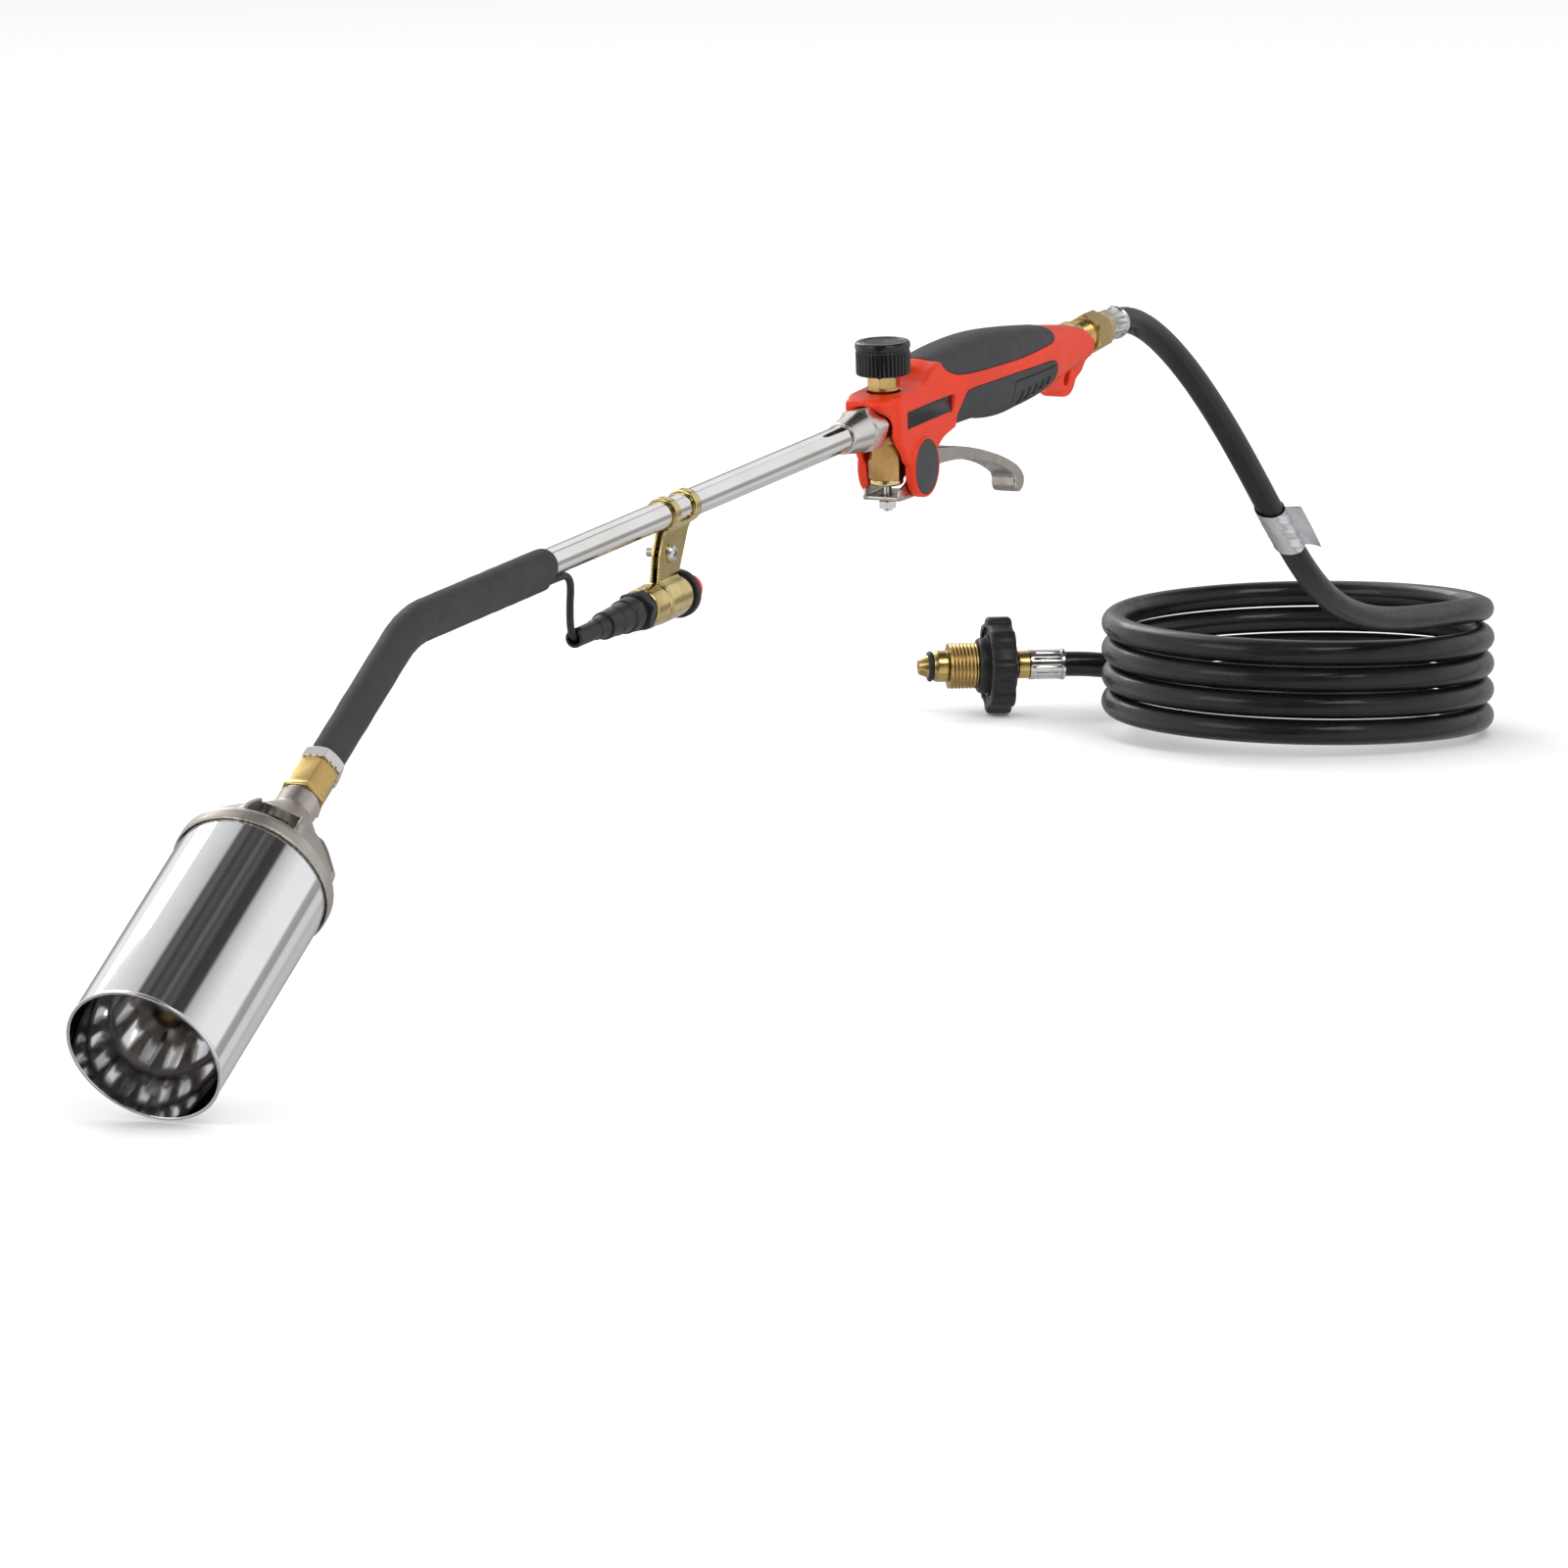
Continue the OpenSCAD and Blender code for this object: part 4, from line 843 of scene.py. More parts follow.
def build_bracket():
    """One folded strip: two bands over the tube, two plates, a ring round the igniter."""
    thick, over = 1.25, 6.05
    a0 = degrees(asin(PLATE_GAP / over))
    b0 = degrees(asin(PLATE_GAP / BARREL_R))
    inner = [(over * sin(radians(a)), -over * cos(radians(a))) for a in np.linspace(a0, 360 - a0, 60)]
    inner += [(BARREL_R * sin(radians(a)), IGN + BARREL_R * cos(radians(a))) for a in np.linspace(-b0,
        -360 + b0, 60)]
    line = np.array(inner)
    along = np.roll(line, -1, 0) - np.roll(line, 1, 0)
    along /= np.linalg.norm(along, axis=1)[:, None]
    outward = np.stack([-along[:, 1], along[:, 0]], 1)
    if np.linalg.norm(line[30] + outward[30]) < np.linalg.norm(line[30]):
        outward = -outward
    outer = [tuple(p) for p in line + outward * thick]
    strip = prism("bracket", outer, -331.3, -297.5, "x")
    cut(strip, prism("hollow", inner, -340, -290, "x"))
    bell_side = [(-345, 20), (-345, -60), (-331.2, -60), (-331.2, -30), (-330.6, -26), (-328.2, -16),
        (-324, -8.2), (-322.3, -6), (-322, -3), (-322, 20)]
    hose_side = [(-280, 20), (-297.5, 20), (-297.5, -4), (-298.2, -7), (-301, -9.6), (-304.2, -15),
        (-309.9, -24.5), (-310.8, -26.6), (-310.8, -60), (-280, -60)]
    cut(strip, prism("cut", bell_side, -20, 20), prism("cut", hose_side, -20, 20))
    window = smooth_outline([(-316.6, 12), (-316.6, 0), (-316.4, -3.2), (-313, -3.9), (-306, -3.9),
        (-303.2, -3.2), (-303, 0), (-303, 12)], 0.8)
    cut(strip, prism("window", window, -20, 20), rod("screw_hole", 2.1, -20, 20, 32, "y", SCREW))
    soften(strip, 0.3, 2, 0.5)
    finish_piece(strip, TORCH, "zinc", "igniter_bracket", 45)
    ring = lathe("igniter_ferrule", rounded([(BARREL_R, -345.4), (8.4, -345.4), (8.9, -344.8),
        (8.9, -333.5), (9.15, -332.6), (9.15, -331.4), (BARREL_R, -331.4)], 0.35), 96)
    cut(ring, box("slit", (-0.6, 6, -350), (0.6, 12, -325)))
    finish_piece(ring, IGNITER, "zinc", "", 35)
    screw_frame = TORCH @ shift(SCREW[0], 0, SCREW[1]) @ spin(90, "X")
    screw = lathe("screw", [(0.01, -9)] + rounded([(1.7, -9), (2.0, -8.6), (2.0, 2.2), (3.7, 2.3),
        (3.75, 2.9), (3.1, 3.9), (1.6, 4.5)], 0.25, 3)[5:-5] + [(1.6, 4.5), (0.01, 4.6)], 48)
    for k in range(14):
        z = -8.6 + 0.6 * k
        cut(screw, lathe("groove", [(1.75, z - 0.05), (2.2, z - 0.25), (2.2, z + 0.25)], 32))
    for a in (0, 90):
        cross = prism("slot", [(-1.9, -0.42), (1.9, -0.42), (1.9, 0.42), (-1.9, 0.42)], 3.3, 6, "z")
        cross.data.transform(spin(a + 20, "Z"))
        cut(screw, cross)
    finish_piece(screw, screw_frame, "steel", "bracket_screw", 35)
    washer = lathe("screw_washer", rounded([(2.05, 2.2), (4.3, 2.2), (4.3, 2.75), (2.05, 2.75)], 0.2), 48)
    cut(washer, rod("clear", 2.02, 1, 4, 32))
    finish_piece(washer, screw_frame, "zinc", "", 35)
    nut = hex_nut("screw_nut", 7, -5.4, -2.2, 2.04, 0, (0.5, 0.4))
    finish_piece(nut, screw_frame, "zinc", "bracket_nut", 30)


def build_igniter():
    body = lathe("igniter_barrel", rounded([(1.7, -395), (1.7, -363), (4.7, -363), (4.7, -319.6),
        (6.3, -319.6), (6.3, -306.5), (9.9, -306.5), (10.4, -307.1), (10.4, -310.0), (10.0, -310.5),
        (7.8, -310.5), (7.8, -345.4), (6.7, -345.5), (6.7, -353.5), (7.4, -354.2), (7.3, -361.2),
        (6.5, -362.0), (6.3, -370.5), (6.0, -371.2), (5.9, -380.6), (5.4, -381.0), (2.6, -381.2),
        (2.6, -389), (2.5, -395)], 0.35, 3), 96)
    finish_piece(body, IGNITER, "black", "igniter_body", 35)
    nut = hex_nut("igniter_hex", 16, -350.5, -345.5, 6.75, 15, (0.8, 0.8))
    finish_piece(nut, IGNITER, "black", "igniter_nut", 30)
    boot = lathe("igniter_boot_rubber", rounded([(2.7, -408.2), (3.9, -408.2), (4.0, -389.5),
        (4.5, -388.4), (4.75, -382.5), (5.2, -381.6), (2.65, -381.3)], 0.4, 3), 64)
    cut(boot, box("notch", (-6, -2.0, -409), (-2.2, 2.0, -403)))
    finish_piece(boot, IGNITER, "rubber", "igniter_boot", 35)
    button = lathe("button", [(0.01, -328), (2.6, -328), (2.6, -313.2), (2.9, -313)]
        + rounded([(6.0, -313), (6.2, -312.6), (6.2, -297.6), (5.6, -295.9), (4.2, -294.9),
        (2.0, -294.5)], 0.6, 4)[5:-5] + [(2.0, -294.5), (0.01, -294.4)], 72)
    finish_piece(button, IGNITER, "button", "igniter_button", 50, body="button")


# ---------------------------------------------------------------- knob and lever
KNOB_R = 12.2


def build_knob():
    ribs, per_rib = 40, 10
    stations = [(20.4, -0.9, 0.0), (20.7, -0.35, 0.5), (21.3, -0.2, 1.0), (30.2, -0.2, 1.0),
        (30.9, -0.4, 0.4), (31.3, -0.75, 0.0)]

    def outline(z, offset, rib):
        def radius(a):
            wave = 0.5 + 0.5 * cos(ribs * a)
            return KNOB_R + offset - 0.78 * rib * (1 - min(1.0, wave * 1.7)) - 0.05
        return ring_at(z, radius, ribs * per_rib)
    knob = loft("knob_body", [outline(*s) for s in stations])
    cap = lathe("knob_band", rounded([(8.0, 30.6), (KNOB_R - 0.6, 30.6), (KNOB_R - 0.75, 31.3),
        (KNOB_R - 0.1, 31.9), (KNOB_R - 0.1, 34.2), (KNOB_R - 0.9, 35.0), (9.5, 35.05), (9.08, 34.8),
        (9.05, 34.0), (8.0, 34.0)], 0.45, 3), 160)
    join(knob, cap)
    cut(knob, rod("bore", 2.56, 19, 28.5), rod("screw_way", 1.67, 28, 33), rod("head_room", 3.42, 31.5,
        34.5), rod("under", 8.2, 19, 22.4, 64))
    finish_piece(knob, VALVE, "knob", "control_knob", 40, body="knob")
    disc = lathe("knob_disc", rounded([(0.01, 34.02), (8.98, 34.02), (8.98, 34.7), (8.6, 34.86),
        (8.1, 34.86), (7.9, 34.66), (0.01, 34.62)], 0.12, 2), 96)
    join(disc, rod("boss", 3.3, 33.7, 34.2, 48))
    finish_piece(disc, VALVE, "black", "knob_cap", 40, body="knob")
    nut = hex_nut("bonnet_hex", 12.6, 14.5, 20, 2.56, 10, (0.5, 0.9))
    join(nut, lathe("flange", rounded([(2.56, 7.4), (5.4, 7.4), (5.4, 13.3), (6.9, 13.3), (6.9, 14.7),
        (2.56, 14.7)], 0.25), 64))
    finish_piece(nut, VALVE, "brass", "bonnet_nut", 30)


LEVER_OUT = [(-84, -17.5), (-74, -17.2), (-62, -18.6), (-52.8, -20.0), (-38.4, -22.2), (-23.1, -25.4),
    (-7.7, -29.5), (7.7, -34.4), (18.0, -38.4), (26.1, -42.2), (30.6, -45.4), (32.9, -48.2),
    (33.4, -50.6), (31.8, -53.4), (28.6, -55.0), (25.6, -54.3), (23.9, -52.4), (23.3, -50.2),
    (23.6, -48.0), (22.0, -45.8), (17.0, -43.0), (7.4, -38.9), (-2.9, -35.6), (-13.2, -33.1),
    (-28.7, -29.9), (-38.9, -28.3), (-50, -27.4), (-60, -27), (-70, -26), (-80, -26.5), (-90, -26),
    (-89, -20)]


def build_lever():
    arm = prism("lever_arm", smooth_outline(LEVER_OUT, 0.8), -6, 6)
    join(arm, rod("hub", 4.4, -8.9, 8.9, 64, "y", PIV))
    soften(arm, 0.5, 8, 0.5)
    under = [(-70, -27.6), (-60, -31), (-40, -32), (-19, -36), (0, -42), (14, -46), (21, -48.5),
        (21.5, -46.5), (14, -40.6), (0, -34.6), (-19, -28.8), (-40, -24.8), (-60, -22.8), (-70, -22.3)]
    channel = prism("channel", under, -3.8, 3.8)
    cut(arm, channel)
    fork_z = -34.7
    for s in (-1, 1):
        plate = prism("fork", smooth_outline([(-103.5, fork_z + 0.2), (-103.5, -30.4), (-102.8, -29.6),
            (-96, -27.6), (-93.5, -24), (-89, -18.4), (-85.5, -17.6), (-82, -18.2), (-81, -26),
            (-84, fork_z + 0.2)], 0.8), s * 8.2 - 0.7, s * 8.2 + 0.7)
        join(arm, plate)
    base = prism("fork_base", smooth_outline([(-103.5, -8.9), (-83.5, -8.9), (-83.5, 8.9), (-103.5, 8.9)],
        0.8, 0.1), fork_z, fork_z + 1.8, "z")
    join(arm, base)
    soften(arm, 0.35, 3, 0.5)
    tools = [rod("pin", 2.06, -12, 12, 48, "y", PIV), prism("stem_slot", [(VALVE_X - 5.1, -0.1),
        (VALVE_X - 4.4, -1.8), (VALVE_X - 2.6, -2.5), (VALVE_X + 0.3, -2.5), (VALVE_X + 2.1, -1.8),
        (VALVE_X + 2.8, 0), (VALVE_X + 2.1, 1.8), (VALVE_X + 0.3, 2.5), (VALVE_X - 2.6, 2.5),
        (VALVE_X - 4.4, 1.8)], fork_z - 2, -29, "z")]
    cut(arm, *tools)
    arm.name = "squeeze_lever"
    finish_piece(arm, TORCH, "cast_rough", "trigger_lever", 45, body="lever")


def build_head_trim():
    for q, tag in ((-1, "near"), (1, "far")):
        cap = lathe("pivot_disc_" + tag, rounded([(0.01, 0), (LOBE_R - 1.35, 0), (LOBE_R - 1.35, 0.95),
            (LOBE_R - 1.9, 1.25), (4.0, 1.45), (0.01, 1.5)], 0.25, 3), 96)
        turn = spin(90 if q < 0 else -90, "X")
        at = shift(PIV[0], q * (LOBE_OUT - 1.3), PIV[1])
        finish_piece(cap, TORCH @ at @ turn, "black_satin", "pivot_caps" if q < 0
            else "", 40)
        plate = prism("label_" + tag, smooth_outline([(-101.4, -3.0), (-98, -3.05), (-58.4, -3.05),
            (-55.5, -3.0), (-55.4, 4.4), (-58.4, 4.45), (-98, 4.45), (-101.4, 4.4)], 0.7, 0.25),
            min(q * 12.06, q * 12.62), max(q * 12.06, q * 12.62))
        modify(plate, "BEVEL", width=0.2, segments=2, limit_method="ANGLE", angle_limit=radians(50))
        finish_piece(plate, TORCH, "gloss", "label_plates" if q < 0 else "", 40)


def build_valve():
    """Facetted barrel, side arms and the bright ring under it."""
    barrel = lathe("valve_casting", rounded([(2.0, -9.5), (8.4, -9.5), (8.6, -8), (8.6, 10.2),
        (5.45, 10.2), (5.45, 4.9), (3.3, 4.9), (3.3, -0.5), (1.3, -0.5), (1.3, -3.6), (2.0, -3.6)], 0.3),
        72)
    skirt_rings = []
    for z, r in ((-25.8, 7.3), (-25.2, 7.5), (-9.6, 7.95), (-8.2, 7.9)):
        skirt_rings.append([(r / cos(radians(22.5)) * 0.965 * cos(radians(22.5 + 45 * k)),
            r / cos(radians(22.5)) * 0.965 * sin(radians(22.5 + 45 * k)), z) for k in range(8)])
    skirt = loft("skirt", skirt_rings)
    join(barrel, skirt)
    join(barrel, rod("front_arm", 8, -22, 0, 64, "x"), rod("rear_arm", 6.6, 0, 26, 64, "x"))
    cut(barrel, rod("a", 4.2, -23, -10, 48, "x"), rod("b", 2.2, 0, 27, 32, "x"), rod("c", 4.05, 18, 27,
        48, "x"), rod("d", 3.3, -0.5, 6), rod("e", 5.45, 4.9, 13), rod("f", 3.1, -27, -3.6),
        rod("g", 1.3, -5, 1, 24), rod("h", 1.5, -13, 0, 24, "x", (0, -4.4)))
    finish_piece(barrel, VALVE, "brass_cast", "valve_body", 30)
    gland = lathe("gland_ring", rounded([(2.05, -28.4), (6.6, -28.4), (7.35, -27.6), (7.35, -25.85),
        (3.05, -25.85), (3.05, -24.4), (2.05, -24.4)], 0.3), 64)
    finish_piece(gland, VALVE, "brass_bright", "valve_gland", 35)


# ---------------------------------------------------------------- hose and its ends
HOSE_R = 6.0
COIL_C = (458.3, 40.8)
COIL_R, COIL_A0, COIL_TURN, COIL_PITCH = 87.6, -59.7, 1525.0, 12.5
COIL_Z1 = FLOOR_Z + HOSE_R
COIL_Z0 = COIL_Z1 + COIL_PITCH * COIL_TURN / 360


def bezier(points, t):
    p = [np.array(q, float) for q in points]
    while len(p) > 1:
        p = [a * (1 - t) + b * t for a, b in zip(p, p[1:])]
    return p[0]


IN_DIR = np.array((cos(radians(PITCH)), 0, sin(radians(PITCH))))


def hose_lines():
    def on_coil(a, z):
        return np.array((COIL_C[0] + COIL_R * cos(radians(a)), COIL_C[1] + COIL_R * sin(radians(a)), z))
    join = on_coil(COIL_A0, COIL_Z0)
    jd = np.array((-sin(radians(COIL_A0)), cos(radians(COIL_A0)), -0.12))
    jd /= np.linalg.norm(jd)
    free = [IN_DIR * 152, IN_DIR * 236, (277.6, -82.8, -174.2), (317.2, 19.3, -150.1), join - 76 * jd,
        join]
    leave_a = COIL_A0 + COIL_TURN
    leave = on_coil(leave_a, COIL_Z1)
    ld = np.array((-sin(radians(leave_a)), cos(radians(leave_a)), 0))
    yaw = np.array((cos(radians(TAIL_YAW)), sin(radians(TAIL_YAW)), 0))
    end = np.array(TAIL_END)
    tail = [leave, leave + 40 * ld, end - 45 * yaw, end - 4 * yaw]
    path = [IN_DIR * 135, IN_DIR * 143] + [bezier(free, t) for t in np.linspace(0, 1, 90)]
    turns = int(COIL_TURN / 3)
    path += [on_coil(COIL_A0 + COIL_TURN * i / turns, COIL_Z0 - COIL_PITCH * COIL_TURN * i / turns / 360)
        for i in range(1, turns)]
    path += [bezier(tail, t) for t in np.linspace(0, 1, 40)] + [end + 4 * yaw, end + 13 * yaw]
    return path, free


def build_hose():
    path, free = hose_lines()
    p = np.array(path)
    step = np.linalg.norm(np.diff(p, axis=0), axis=1)
    s = np.concatenate([[0], np.cumsum(step)])
    count = int(s[-1] / 3.2)
    want = np.linspace(0, s[-1], count)
    line = np.stack([np.interp(want, s, p[:, k]) for k in range(3)], 1)
    o = sweep("hose_rubber", line, HOSE_R - 0.02, 40)
    me = o.data
    uv = me.uv_layers.new(name="wrap")
    n = 40
    idx = np.array([l.vertex_index for l in me.loops])
    ring, around = idx // n, idx % n
    vals = np.stack([around / n, want[np.clip(ring, 0, count - 1)] / 40.0], 1)
    # close the seam: loops at angle 0 of faces that start at n-1 belong at 1
    for poly in me.polygons:
        ls = list(poly.loop_indices)
        if len(ls) == 4 and (around[ls] == n - 1).any() and (around[ls] == 0).any():
            for l in ls:
                if around[l] == 0:
                    vals[l, 0] = 1.0
    uv.data.foreach_set("uv", vals.ravel())
    finish_piece(o, WORLD, "hose", "hose", 60)

    # foil tag wrapped round the free hose
    t0 = 0.37
    at = bezier(free, t0)
    d = bezier(free, t0 + 0.02) - bezier(free, t0 - 0.02)
    d /= np.linalg.norm(d)
    turn = Matrix.Rotation(atan2(d[1], d[0]), 4, "Z") @ Matrix.Rotation(acos(d[2]), 4, "Y")
    place = WORLD @ Matrix.Translation(at) @ turn @ spin(240, "Z")
    rng = random.Random(5)
    nz, na = 40, 90
    flag, slant = 7.0, 0.4
    verts, faces = [], []
    r = HOSE_R + 0.55
    ph = [rng.uniform(0, 6.3) for _ in range(6)]
    for i in range(nz):
        z = -13 + 26 * i / (nz - 1)
        for k in range(na):
            u = k / (na - 1)
            length = 2 * pi * r + 2 * flag
            w = u * length
            rip = 0.10 * sin(w * 0.9 + ph[0] + 0.3 * z) + 0.08 * sin(z * 0.8 + ph[1] + w * 0.2)
            rip += 0.05 * sin(z * 1.9 + w * 1.3 + ph[2])
            if w < flag or w > length - flag:
                side = 1 if w < flag else -1
                x = r + (flag - w if side > 0 else w - (length - flag))
                y = side * 0.16 + rip * 0.5 * min(1, (x - r) / 3)
                bend = 0.008 * (x - r) ** 2 + 0.003 * (x - r) ** 2 * max(0, z)
                verts.append((x, y + bend, z + slant * x))
            else:
                a = (w - flag) / (2 * pi * r) * 2 * pi
                rr = r + rip * 0.8 + 0.1
                verts.append((rr * cos(a), rr * sin(a), z + slant * rr * cos(a)))
    for i in range(nz - 1):
        for k in range(na - 1):
            faces.append((i * na + k, i * na + k + 1, (i + 1) * na + k + 1, (i + 1) * na + k))
    tag = obj_from("foil_tag", verts, faces)
    modify(tag, "SOLIDIFY", thickness=0.12, offset=0)
    finish_piece(tag, place, "foil", "hose_tag", 50)


def ferrule_mesh(name):
    prof = [(7.2, 0.0), (7.25, 0.5), (7.25, 1.8), (7.1, 3.0), (7.1, 13.0), (7.2, 14.4), (7.25, 15.2),
        (7.55, 15.5), (7.6, 16.4), (7.45, 16.95)]
    rings = []
    for r, z in prof:
        deep = 0.62 if 3.0 <= z <= 13.0 else (0.15 if 1.8 <= z <= 14.4 else 0.0)
        rings.append(ring_at(z, lambda a: r - deep * max(0, cos(12 * a)) ** 3, 144))
    o = loft(name, rings)
    cut(o, rod("bore", 3.15, -1, 3), rod("room", 6.02, 1.6, 20, 64))
    return o


def threaded(name, r, a, b, pitch, depth):
    """Cylinder along z with real ridges of a thread, which fade out at both ends."""
    steps = int((b - a) / pitch * 10)
    rings = []
    for z in (a + (b - a) * i / steps for i in range(steps + 1)):
        fade = min(1.0, z - a, b - z)

        def radius(angle):
            phase = (z - a) / pitch - angle / (2 * pi)
            valley = abs((phase % 1.0) - 0.5) * 2
            return r - depth * valley ** 1.2 * (0.3 + 0.7 * fade) - 0.25 * (1 - fade)
        rings.append(ring_at(z, radius, 72))
    return loft(name, rings)


def build_fittings():
    for name, m in (("rear_ferrule", LANCE @ shift(0, 0, 133.0)), ("tank_ferrule", TANK @ shift(0, 0, 15)
            @ Matrix.Rotation(pi, 4, "X"))):
        finish_piece(ferrule_mesh(name), m, "ferrule", "hose_ferrules" if name[0] == "r"
            else "", 40)
    inlet = threaded("inlet_thread", 7.1, 100, 121.9, 1.35, 0.5)
    join(inlet, lathe("flange", rounded([(9, 92), (9, 100.4), (0.01, 100.4), (0.01, 92)], 0.4), 72))
    cut(inlet, rod("a", 4.05, 91, 94.4), rod("b", 2.4, 91, 123), lathe("c", [(0.01, 118), (2.4, 118),
        (6.4, 122.1), (6.4, 123), (0.01, 123)], 48))
    finish_piece(inlet, LANCE, "brass", "inlet_fitting", 30)
    swivel = hex_nut("swivel_hex", 17, 113.6, 127, 5.05, 0, (1.1, 1.1))
    cut(swivel, rod("room", 7.15, 112, 124.4, 64))
    finish_piece(swivel, LANCE, "brass", "hose_nut", 30, body="hose_swivel")
    tail = lathe("barb_core", rounded([(1.9, 118.4), (2.6, 118.4), (6.1, 122), (6.1, 124.1), (5, 124.3),
        (5, 127.6), (3.1, 132.4), (3.1, 149.5), (1.9, 149.5)], 0.2), 64)
    join(tail, hex_nut("barb_hex", 15, 127.2, 132.8, 3.0, 15, (0.9, 0.9)))
    finish_piece(tail, LANCE, "brass", "hose_tail", 30)
    # tank connector
    nut = threaded("tank_thread", 11.2, 41, 54.6, 1.81, 0.75)
    join(nut, prism("tank_hex", hex_ring(17.5), 24, 41.4, "z"))
    cut(nut, rod("bore", 4.56, 23, 56, 48))
    finish_piece(nut, TANK, "brass", "pol_nut", 30, body="tank_swivel")
    nip = lathe("tank_nipple", rounded([(1.9, -1.5), (3.1, -1.5), (3.1, 15.2), (6.6, 15.2), (6.6, 20.5),
        (4.5, 20.5), (4.5, 55), (7.6, 55), (7.6, 60), (6.9, 61.8), (5.7, 62.6), (5.2, 63.6), (5.6, 64.4),
        (3.6, 69), (1.9, 69)], 0.25), 72)
    finish_piece(nip, TANK, "brass", "pol_nipple", 30)
    ring = lathe("seal_ring", [(6.2 + 1.2 * cos(a), 63.4 + 1.2 * sin(a)) for a in np.linspace(0, 2 * pi,
        20, endpoint=False)], 64)
    finish_piece(ring, TANK, "rubber", "nose_seal", 50)
    rings = []
    for z, offset in ((24.0, -1.3), (24.5, -0.5), (25.3, -0.05), (34.7, -0.05), (35.5, -0.5),
            (36.0, -1.3)):
        def radius(a):
            lobe = cos(8 * a)
            knurl = 0.35 * max(0, cos(96 * a)) if lobe > 0.2 and 25 < z < 35 else 0
            return 20.9 + 2.6 * (0.5 + 0.5 * tanh(2.2 * lobe)) + offset - knurl
        rings.append(ring_at(z, radius, 240))
    wheel = loft("wheel_rim", rings)
    hub = lathe("hub", rounded([(4.9, 22.2), (12.6, 22.2), (13.4, 23.4), (13.4, 39.2), (12.6, 40.4),
        (4.9, 40.4)], 0.4), 96)
    cut(wheel, rod("middle", 11, 20, 45, 64))
    join(wheel, hub)
    cut(wheel, lathe("dish", rounded([(14.6, 37), (14.6, 34.4), (18.6, 34.4), (18.6, 37)], 0.5), 96),
        lathe("dish2", rounded([(14.6, 23), (14.6, 25.4), (18.6, 25.4), (18.6, 23)], 0.5), 96))
    cut(wheel, rod("clear", 4.9, 21, 26, 48), prism("hex_room", hex_ring(17.7), 23.9, 42, "z"))
    finish_piece(wheel, TANK, "black", "hand_wheel", 45, body="tank_swivel")


def build_spring(name, place, radius, wire, lo, hi, turns, mat_name, replaced):
    """Round wire wound along z with closed end turns."""
    steps = turns * 28
    path = []
    for i in range(steps + 1):
        s = i / steps
        rise = 0.5 - 0.5 * cos(pi * s)
        a = 2 * pi * turns * s
        path.append((radius * cos(a), radius * sin(a), lo + (hi - lo) * (0.45 * rise + 0.55 * s)))
    spring = sweep(name, path, wire, 10)
    finish_piece(spring, place, mat_name, replaced, 60)
    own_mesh(spring)


def build_springs():
    build_spring("igniter_return_spring", IGNITER, 3.8, 0.45, -334.0, -313.6, 7, "steel",
        "igniter_spring")
    build_spring("plunger_return_spring", VALVE, 2.52, 0.32, -23.9, -14.1, 6, "steel", "plunger_spring")


for build in (build_handle, build_pads, build_bell, build_collar, build_nose_nuts, build_lance,
        build_sleeve, build_lead, build_tube_nut, build_bracket, build_igniter, build_knob, build_lever,
        build_head_trim, build_valve, build_hose, build_fittings, build_springs):
    build()

# ---------------------------------------------------------------- stage
floor = obj_from("floor", [(x, y, FLOOR_Z * MM) for x, y in ((-30, -30), (30, -30), (30, 30), (-30, 30))],
    [(0, 1, 2, 3)])
fm = Mat("floor")
fm.set(Base_Color=rgb(0.93, 0.93, 0.93), Roughness=0.9, Specular_IOR_Level=0.1)
paint(floor, fm.m)

CAM_POS = Vector((-5.1847, -2.3576, 0.6207))
CAM_RIGHT = Vector((0.4276, -0.9040, 0)).normalized()
CAM_FWD = Vector((0.8952, 0.4234, -0.1392)).normalized()
cam_up = CAM_RIGHT.cross(CAM_FWD).normalized()
cam = bpy.data.objects.new("cam", bpy.data.cameras.new("cam"))
cam.data.sensor_width = 36
cam.data.lens = 297.8
cam.data.clip_end = 100
rot = Matrix((CAM_RIGHT, cam_up, -CAM_FWD)).transposed()
cam.matrix_world = Matrix.Translation(CAM_POS) @ rot.to_4x4()
bpy.context.collection.objects.link(cam)
bpy.context.scene.camera = cam


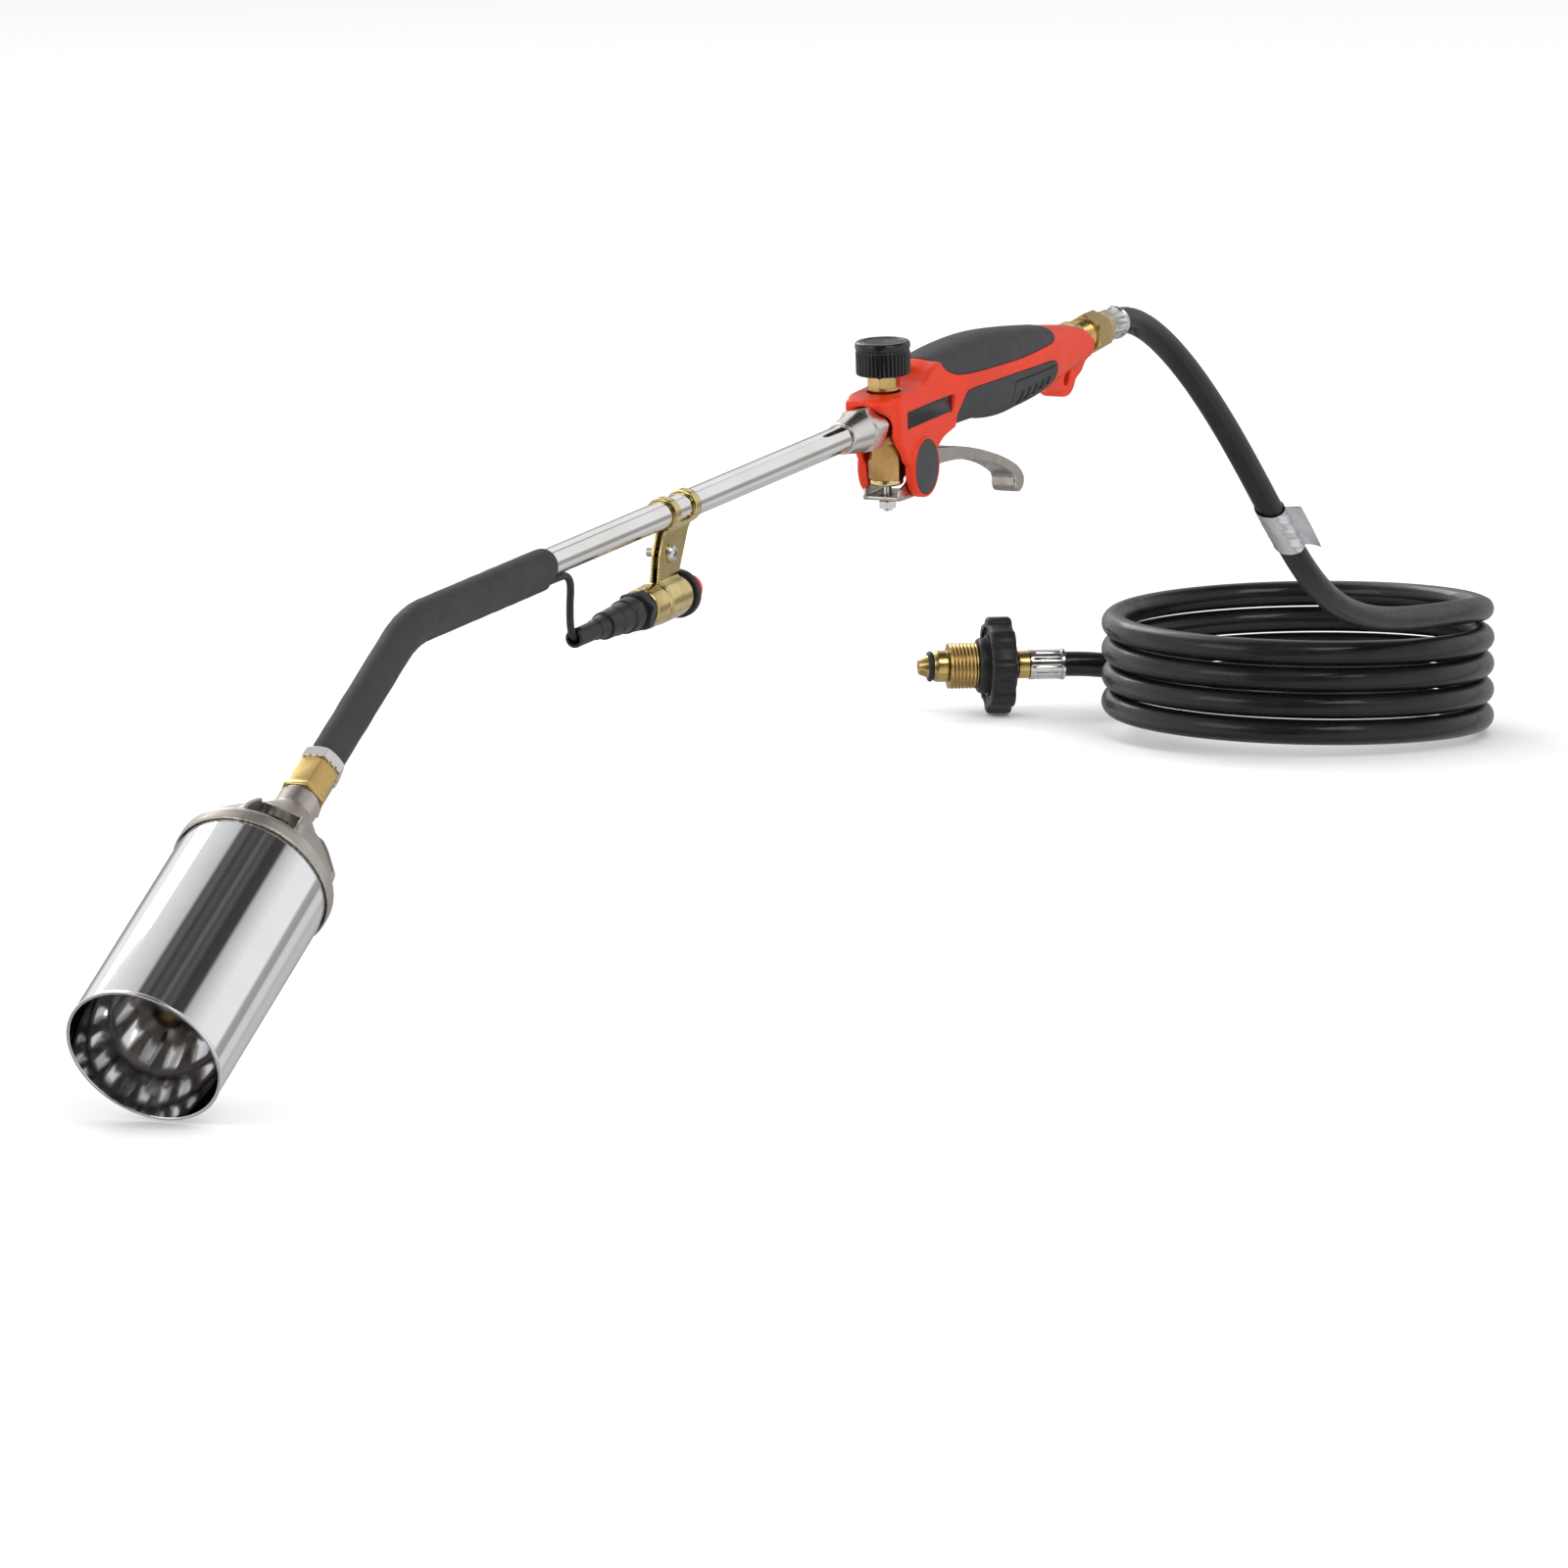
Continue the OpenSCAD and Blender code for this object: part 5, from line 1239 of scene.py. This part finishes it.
def area(name, pos, target, size, power):
    l = bpy.data.lights.new(name, "AREA")
    l.energy = power
    l.shape = "RECTANGLE"
    l.size = l.size_y = size
    o = bpy.data.objects.new(name, l)
    p = Vector(pos)
    o.matrix_world = Matrix.Translation(p) @ (Vector(target) - p).to_track_quat("-Z",
        "Y").to_matrix().to_4x4()
    bpy.context.collection.objects.link(o)


area("key", (-1.5, -2.5, 3.0), (0, 0, 0), 2.0, 52)
area("fill", (-3.0, 1.5, 1.5), (0, 0, 0), 2.0, 25)
area("rim", (2.0, 2.5, 2.0), (0, 0, 0), 1.5, 30)

# what the polished metal mirrors: dark and light cards round the bell's axis (angle in degrees, grey)
CARDS = [(-180, 0.55), (-168, 0.5), (-160, 0.68), (-148, 0.68), (-143, 0.34), (-131, 0.4), (-126, 0.92),
    (-90, 0.9), (-72, 0.7), (-58, 0.5), (-53, 0.055), (-38, 0.045), (-31, 0.1), (-25, 0.07), (-19, 0.14),
    (-14, 0.06), (-4, 0.09), (2, 0.05), (8, 0.12), (17, 0.1), (22, 0.58), (40, 0.72), (66, 0.86),
    (100, 0.95), (112, 0.9), (122, 0.4), (140, 0.3), (165, 0.5), (180, 0.55)]


def studio():
    w = Mat("studio", world=True)
    turn = NOSE.to_3x3().normalized().transposed().to_euler()
    local = w.add("ShaderNodeMapping", {"Vector": w.geo.outputs["Generated"],
        "Rotation": turn}).outputs[0]
    axes = w.add("ShaderNodeSeparateXYZ", {"Vector": local})
    angle = w.math("ARCTAN2", axes.outputs[1], axes.outputs[0])
    fac = w.math("MULTIPLY_ADD", angle, 0.5 / pi)
    fac.node.inputs[2].default_value = 0.5
    cards = w.add("ShaderNodeValToRGB", {"Fac": fac})
    ramp = cards.color_ramp
    while len(ramp.elements) < len(CARDS):
        ramp.elements.new(0.5)
    for e, (deg, grey) in zip(ramp.elements, CARDS):
        e.position = deg / 360 + 0.5
        e.color = (grey, grey, grey * 1.01, 1)
    rays = w.add("ShaderNodeLightPath")
    seen = w.mix(rays.outputs["Is Glossy Ray"], rgb(1.0, 1.0, 1.02), cards.outputs["Color"])
    w.set(Color=w.mix(rays.outputs["Is Camera Ray"], seen, rgb(1, 1, 1)), Strength=1.0)
    return w.m


bpy.context.scene.world = studio()
floor.visible_glossy = False
bpy.context.scene.view_settings.view_transform = "Standard"
